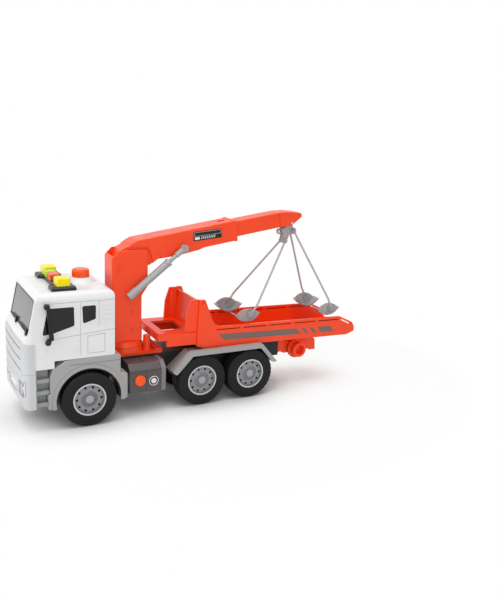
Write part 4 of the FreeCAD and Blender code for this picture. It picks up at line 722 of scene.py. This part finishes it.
grounds, marks = [], []
for side in BOTH_SIDES:
    out = (0, side, 0)
    grounds.append(plate("ground", on_plate(block(0, 1, 0, 1), side), out, 0.25, GLOSS_BLACK,
                         "boom", 0.6, 0.1))
    marks.append(plate("pale", on_plate(block(0.045, 0.215, 0.12, 0.4), side), out, 0.33,
                       SHELL_WHITE, "boom", 0.2, 0.05))
    marks += [plate("bar", on_plate(block(s, s + 0.028, 0.14, 0.4, 0.03), side), out, 0.33,
                    SHELL_WHITE, "boom", 0.1, 0.04) for s in np.linspace(0.26, 0.72, 8)]
    marks.append(flat_frame("line", on_plate(block(0.03, 0.97, 0.5, 0.92), side), out, 0.28,
                            0.31, STEP_GREY, "boom", 0.4))
grounds = join_pieces("boom_plates", grounds, "boom")
marks = join_pieces("boom_plate_marks", marks, "boom")
print("boom plates:", len(grounds.data.polygons) + len(marks.data.polygons), "faces")

# %% [markdown]
# ## Stripes on the bed
# A grey-brown stripe with slanted ends runs along each side of the bed, followed by two short
# bars and a block. They are printed film. The side is one flat plane, so very thin plates on
# it do as well as a pattern in the bed's own colour would, and their edges are exact.

# %% Bed stripes
BED_SIDE_Y = 37.0
STRIPES = [[(158.4, 83.3), (166.4, 75.3), (274.3, 71.6), (267.2, 79.5)],
           [(273.4, 79.1), (281.1, 71.2), (286.6, 71.0), (278.6, 78.9)],
           [(286.0, 78.8), (292.8, 71.0), (298.1, 70.9), (291.2, 78.7)],
           [(298.1, 78.4), (304.8, 70.8), (324.5, 70.0), (318.2, 77.7)]]
films = [plate("film", [(d, side * BED_SIDE_Y, z) for d, z in stripe], (0, side, 0), 0.12,
               FILM_GREY, "bed", 0.3, 0.03) for side in BOTH_SIDES for stripe in STRIPES]
films = join_pieces("bed_stripes", films, "bed")
print("stripes:", len(films.data.polygons), "faces")

# %% [markdown]
# ## Backs of the rail slots
# The bed's rails have long narrow slots, and the eye meets the bed's red inside in deep shade
# through them and not the floor behind. A thin strip of red with that shade painted in closes
# each one halfway through the wall. It's a little taller than its slot, so no light passes at
# its edges. The bed hangs 1.2 degrees tail down, so the strips are turned with it.

# %% Rail slot backs
BED_HINGE = (277.5, 48.0)
BED_LEAN = math.radians(1.2)
SLOTS = 5
SLOT_FIRST_D, SLOT_PITCH, SLOT_LENGTH = 155.25, 35.8, 31.3
SLOT_LOW, SLOT_HIGH = 85.6, 87.3
SLOT_BACK_Y = 35.2


def leaning(d, y, z):
    """Turned about the hinge by the lean: d' = d0 + a cos + b sin, z' = z0 - a sin + b cos."""
    a, b = d - BED_HINGE[0], z - BED_HINGE[1]
    return (BED_HINGE[0] + a * math.cos(BED_LEAN) + b * math.sin(BED_LEAN), y,
            BED_HINGE[1] - a * math.sin(BED_LEAN) + b * math.cos(BED_LEAN))


backs = []
for side in BOTH_SIDES:
    for start in SLOT_FIRST_D + SLOT_PITCH * np.arange(SLOTS):
        end, y = start + SLOT_LENGTH, side * SLOT_BACK_Y
        corners = [leaning(start, y, SLOT_LOW), leaning(end, y, SLOT_LOW),
                   leaning(end, y, SLOT_HIGH), leaning(start, y, SLOT_HIGH)]
        backs.append(plate("back", corners, (0, side, 0), 0.5, SHADOW_RED, "bed", 0.1, 0.05))
backs = join_pieces("rail_slot_backs", backs, "bed")
print("rail slot backs:", len(backs.data.polygons), "faces")

# %% [markdown]
# ## Liners of the front wheel arches
# Inside each front fender is a dark liner, an arc of thin plastic around the wheel. It keeps
# the light from showing between tyre and fender. Its section is a flat band, swung about the
# axle from the front foot of the arch to the rear one, so it keeps the same distance from the
# tyre all the way round.

# %% Wheel arch liners
LINER_RADII = (33.6, 34.4)
LINER_Y = (12.0, 49.5)
LINER_ENDS = (-2.0, 182.0)     # degrees round the axle, from level in front


def liner(side):
    """Band of section (r, y) swung about the axle by angle a: d = -r cos a, z = z0 + r sin a."""
    a = np.radians(np.linspace(*LINER_ENDS, 60))[:, None]
    r = np.array(LINER_RADII)[[0, 1, 1, 0]]
    y = side * np.array(LINER_Y)[[0, 0, 1, 1]] + 0 * a
    grid = np.stack([-r * np.cos(a), y, AXLE_Z + r * np.sin(a)], -1)
    return surface("liner", spots(grid), FRAME_BLACK, "chassis", (False, True), caps=True)


liners = join_pieces("wheel_arch_liners", [liner(side) for side in BOTH_SIDES], "chassis")
print("liners:", len(liners.data.polygons), "faces")

# %% [markdown]
# ## Drums behind the rims
# The rims' round holes look dark on the toy, since the wheel's inner half closes them and
# leaves them in shade. A black ring behind each rim's face stands in for that inner half here,
# its black a painted shade, and turns with its axle. Painting the holes' walls dark wouldn't
# do, since the eye looks straight through them.

# %% Wheel drums
DRUM_INSET = 6.0               # drum's face below the tyre's side
DRUM = [(3.4, 0.0), (15.9, 0.0), (15.9, -1.2), (3.4, -1.2)]
for key, axle_d in AXLE_D.items():
    body = key + "_wheels"
    drum_y = TYRE_OUT_Y[key] - DRUM_INSET
    # The drum's black is painted shade inside the wheel.
    pair = [turned("drum", DRUM, (axle_d, side * drum_y, AXLE_Z), (0, side, 0), FRAME_BLACK,
                   body, hoop=True) for side in BOTH_SIDES]
    drums = join_pieces("wheel_drums_" + key, pair, body)
    print(drums.name, len(drums.data.polygons), "faces")

# %% [markdown]
# ## Round badge on the control box
# Beside the orange button is a plain white disc in a dark well with a bright rim. All three
# are turned profiles of a few points, which rounds the rim without a bevel.

# %% Round badge
BADGE = (74.9, 46.0, 40.0)
LEFT = (0, 1, 0)
WELL = [(0.5, 0.15), (4.9, 0.15), (5.0, -0.1), (0.5, -0.1)]
DISC = [(0.4, 0.75), (2.4, 0.7), (3.1, 0.5), (3.3, 0.1)]
LIP = [(4.7, -0.1), (4.85, 0.5), (5.2, 0.65), (5.6, 0.45), (5.75, -0.1)]
well = turned("badge_well", WELL, BADGE, LEFT, GLOSS_BLACK, "chassis")
white = turned("white", DISC, BADGE, LEFT, SHELL_WHITE, "chassis")
lip = turned("lip", LIP, BADGE, LEFT, SHELL_WHITE, "chassis", hoop=True)
badge = join_pieces("badge_disc_and_rim", [white, lip], "chassis")
print("badge:", len(badge.data.polygons), "faces")

# %% [markdown]
# ## Stage
# The picture has a white ground with the truck's soft shadow on it. The floor is a plain pale
# surface near the truck. Further out it turns to plain white for the camera alone, so there is
# no horizon, and no light is added to the truck for it. Close under the truck the floor is
# darker: an occlusion node with a reach of 70 mm stands in for the deep contact shadow that a
# small lamp would leave there, and the same node tells where the open floor begins.

# %% Floor
CONTACT_REACH = 0.07
PALE_WITHIN, WHITE_BEYOND = 0.19, 0.4
FLOOR_HALF = 4.0


def floor_finish():
    """Pale diffuse, darkened close under the truck, mixed into white that sight lines see.

    The share of white grows with the oval distance sqrt(x^2 + 2.25 y^2) and in open air."""
    material, tree, place = new_material("floor_white")
    oval = distance_from(tree, place, (1.0, 1.5, 1.0))
    away = node(tree, "MapRange", {"Value": oval, "From Min": PALE_WITHIN,
                                   "From Max": WHITE_BEYOND, "To Min": 0.04})
    near = open_share(tree, CONTACT_REACH)
    open_air = node(tree, "MapRange", {"Value": near, "From Min": 0.5, "From Max": 0.95,
                                       "To Max": 0.9})
    bare = combine(tree, away.outputs["Result"], open_air.outputs["Result"], "MAXIMUM")
    share = combine(tree, sight_lines(tree), bare, "MULTIPLY")
    pale = node(tree, "BsdfDiffuse", {"Color": spread(tree, near, 0.12, 0.93, 0.0, 0.85)})
    white = node(tree, "Emission", {"Color": grey(1.0), "Strength": 1.0})
    mixed = node(tree, "MixShader", {0: share, 1: pale.outputs["BSDF"],
                                     2: white.outputs["Emission"]})
    node(tree, "OutputMaterial", {"Surface": mixed.outputs["Shader"]})
    return material


ruler = np.linspace(-FLOOR_HALF, FLOOR_HALF, 41)
floor_x, floor_y = np.meshgrid(ruler, ruler, indexing="ij")
floor = surface("floor", np.stack([floor_x, floor_y, 0 * floor_x], -1), floor_finish(), None)
print("floor faces:", len(floor.data.polygons))

# %% [markdown]
# The world does two jobs. For sight lines, mirrors and glass it is plain white, so that the
# background stays white. For everything else it is an even, modest glow that fills the shadows
# as the walls of a white studio do.

# %% World
WORLD_FILL = 0.5


def studio_world(fill):
    """White for camera, glossy and transmission rays, and a glow of strength fill otherwise."""
    world = bpy.data.worlds.new("white_studio")
    world.use_nodes = True
    tree = world.node_tree
    tree.nodes.clear()
    strength = node(tree, "MapRange", {"Value": sight_lines(tree), "To Min": fill})
    glow = node(tree, "Background", {"Color": grey(1.0), "Strength": strength.outputs["Result"]})
    node(tree, "OutputWorld", {"Surface": glow.outputs["Background"]})
    bpy.context.scene.world = world
    return world


print("world:", studio_world(WORLD_FILL).name)

# %% [markdown]
# ## Lamps
# Three large soft lamps stand round the truck: one overhead, a little forward, one low in
# front of the grille, and a weaker one on the side that faces the camera. Large lamps give
# wide, soft highlights on plastic. A lamp shines against its own z axis, so each one's frame
# is built with z pointing from the truck to the lamp.

# %% Lamps
LIT_PLACE = np.array([-0.05, 0.0, 0.08])


def lamp(name, place, power, size):
    """Square area lamp at a place in metres, facing the middle of the truck."""
    light = bpy.data.lights.new(name, "AREA")
    light.energy, light.size = power, size
    holder = bpy.data.objects.new(name, light)
    away = unit(np.array(place) - LIT_PLACE)
    across = unit(np.cross([0.0, 1.0, 0.2], away))
    holder.matrix_world = placed(across, np.cross(away, across), away, place)
    bpy.context.collection.objects.link(holder)
    return holder


lamps = [lamp("lamp_overhead", (0.15, 0.1, 1.3), 7.5, 1.0),
         lamp("lamp_front", (1.2, 0.15, 0.5), 4.5, 0.8),
         lamp("lamp_side", (0.3, 1.2, 0.7), 3.0, 0.9)]
print("lamps:", [(holder.name, holder.data.energy) for holder in lamps])

# %% [markdown]
# ## Colours as written
# The Standard view shows a colour as it is written, without a film curve on top.

# %% View
bpy.context.scene.view_settings.view_transform = "Standard"
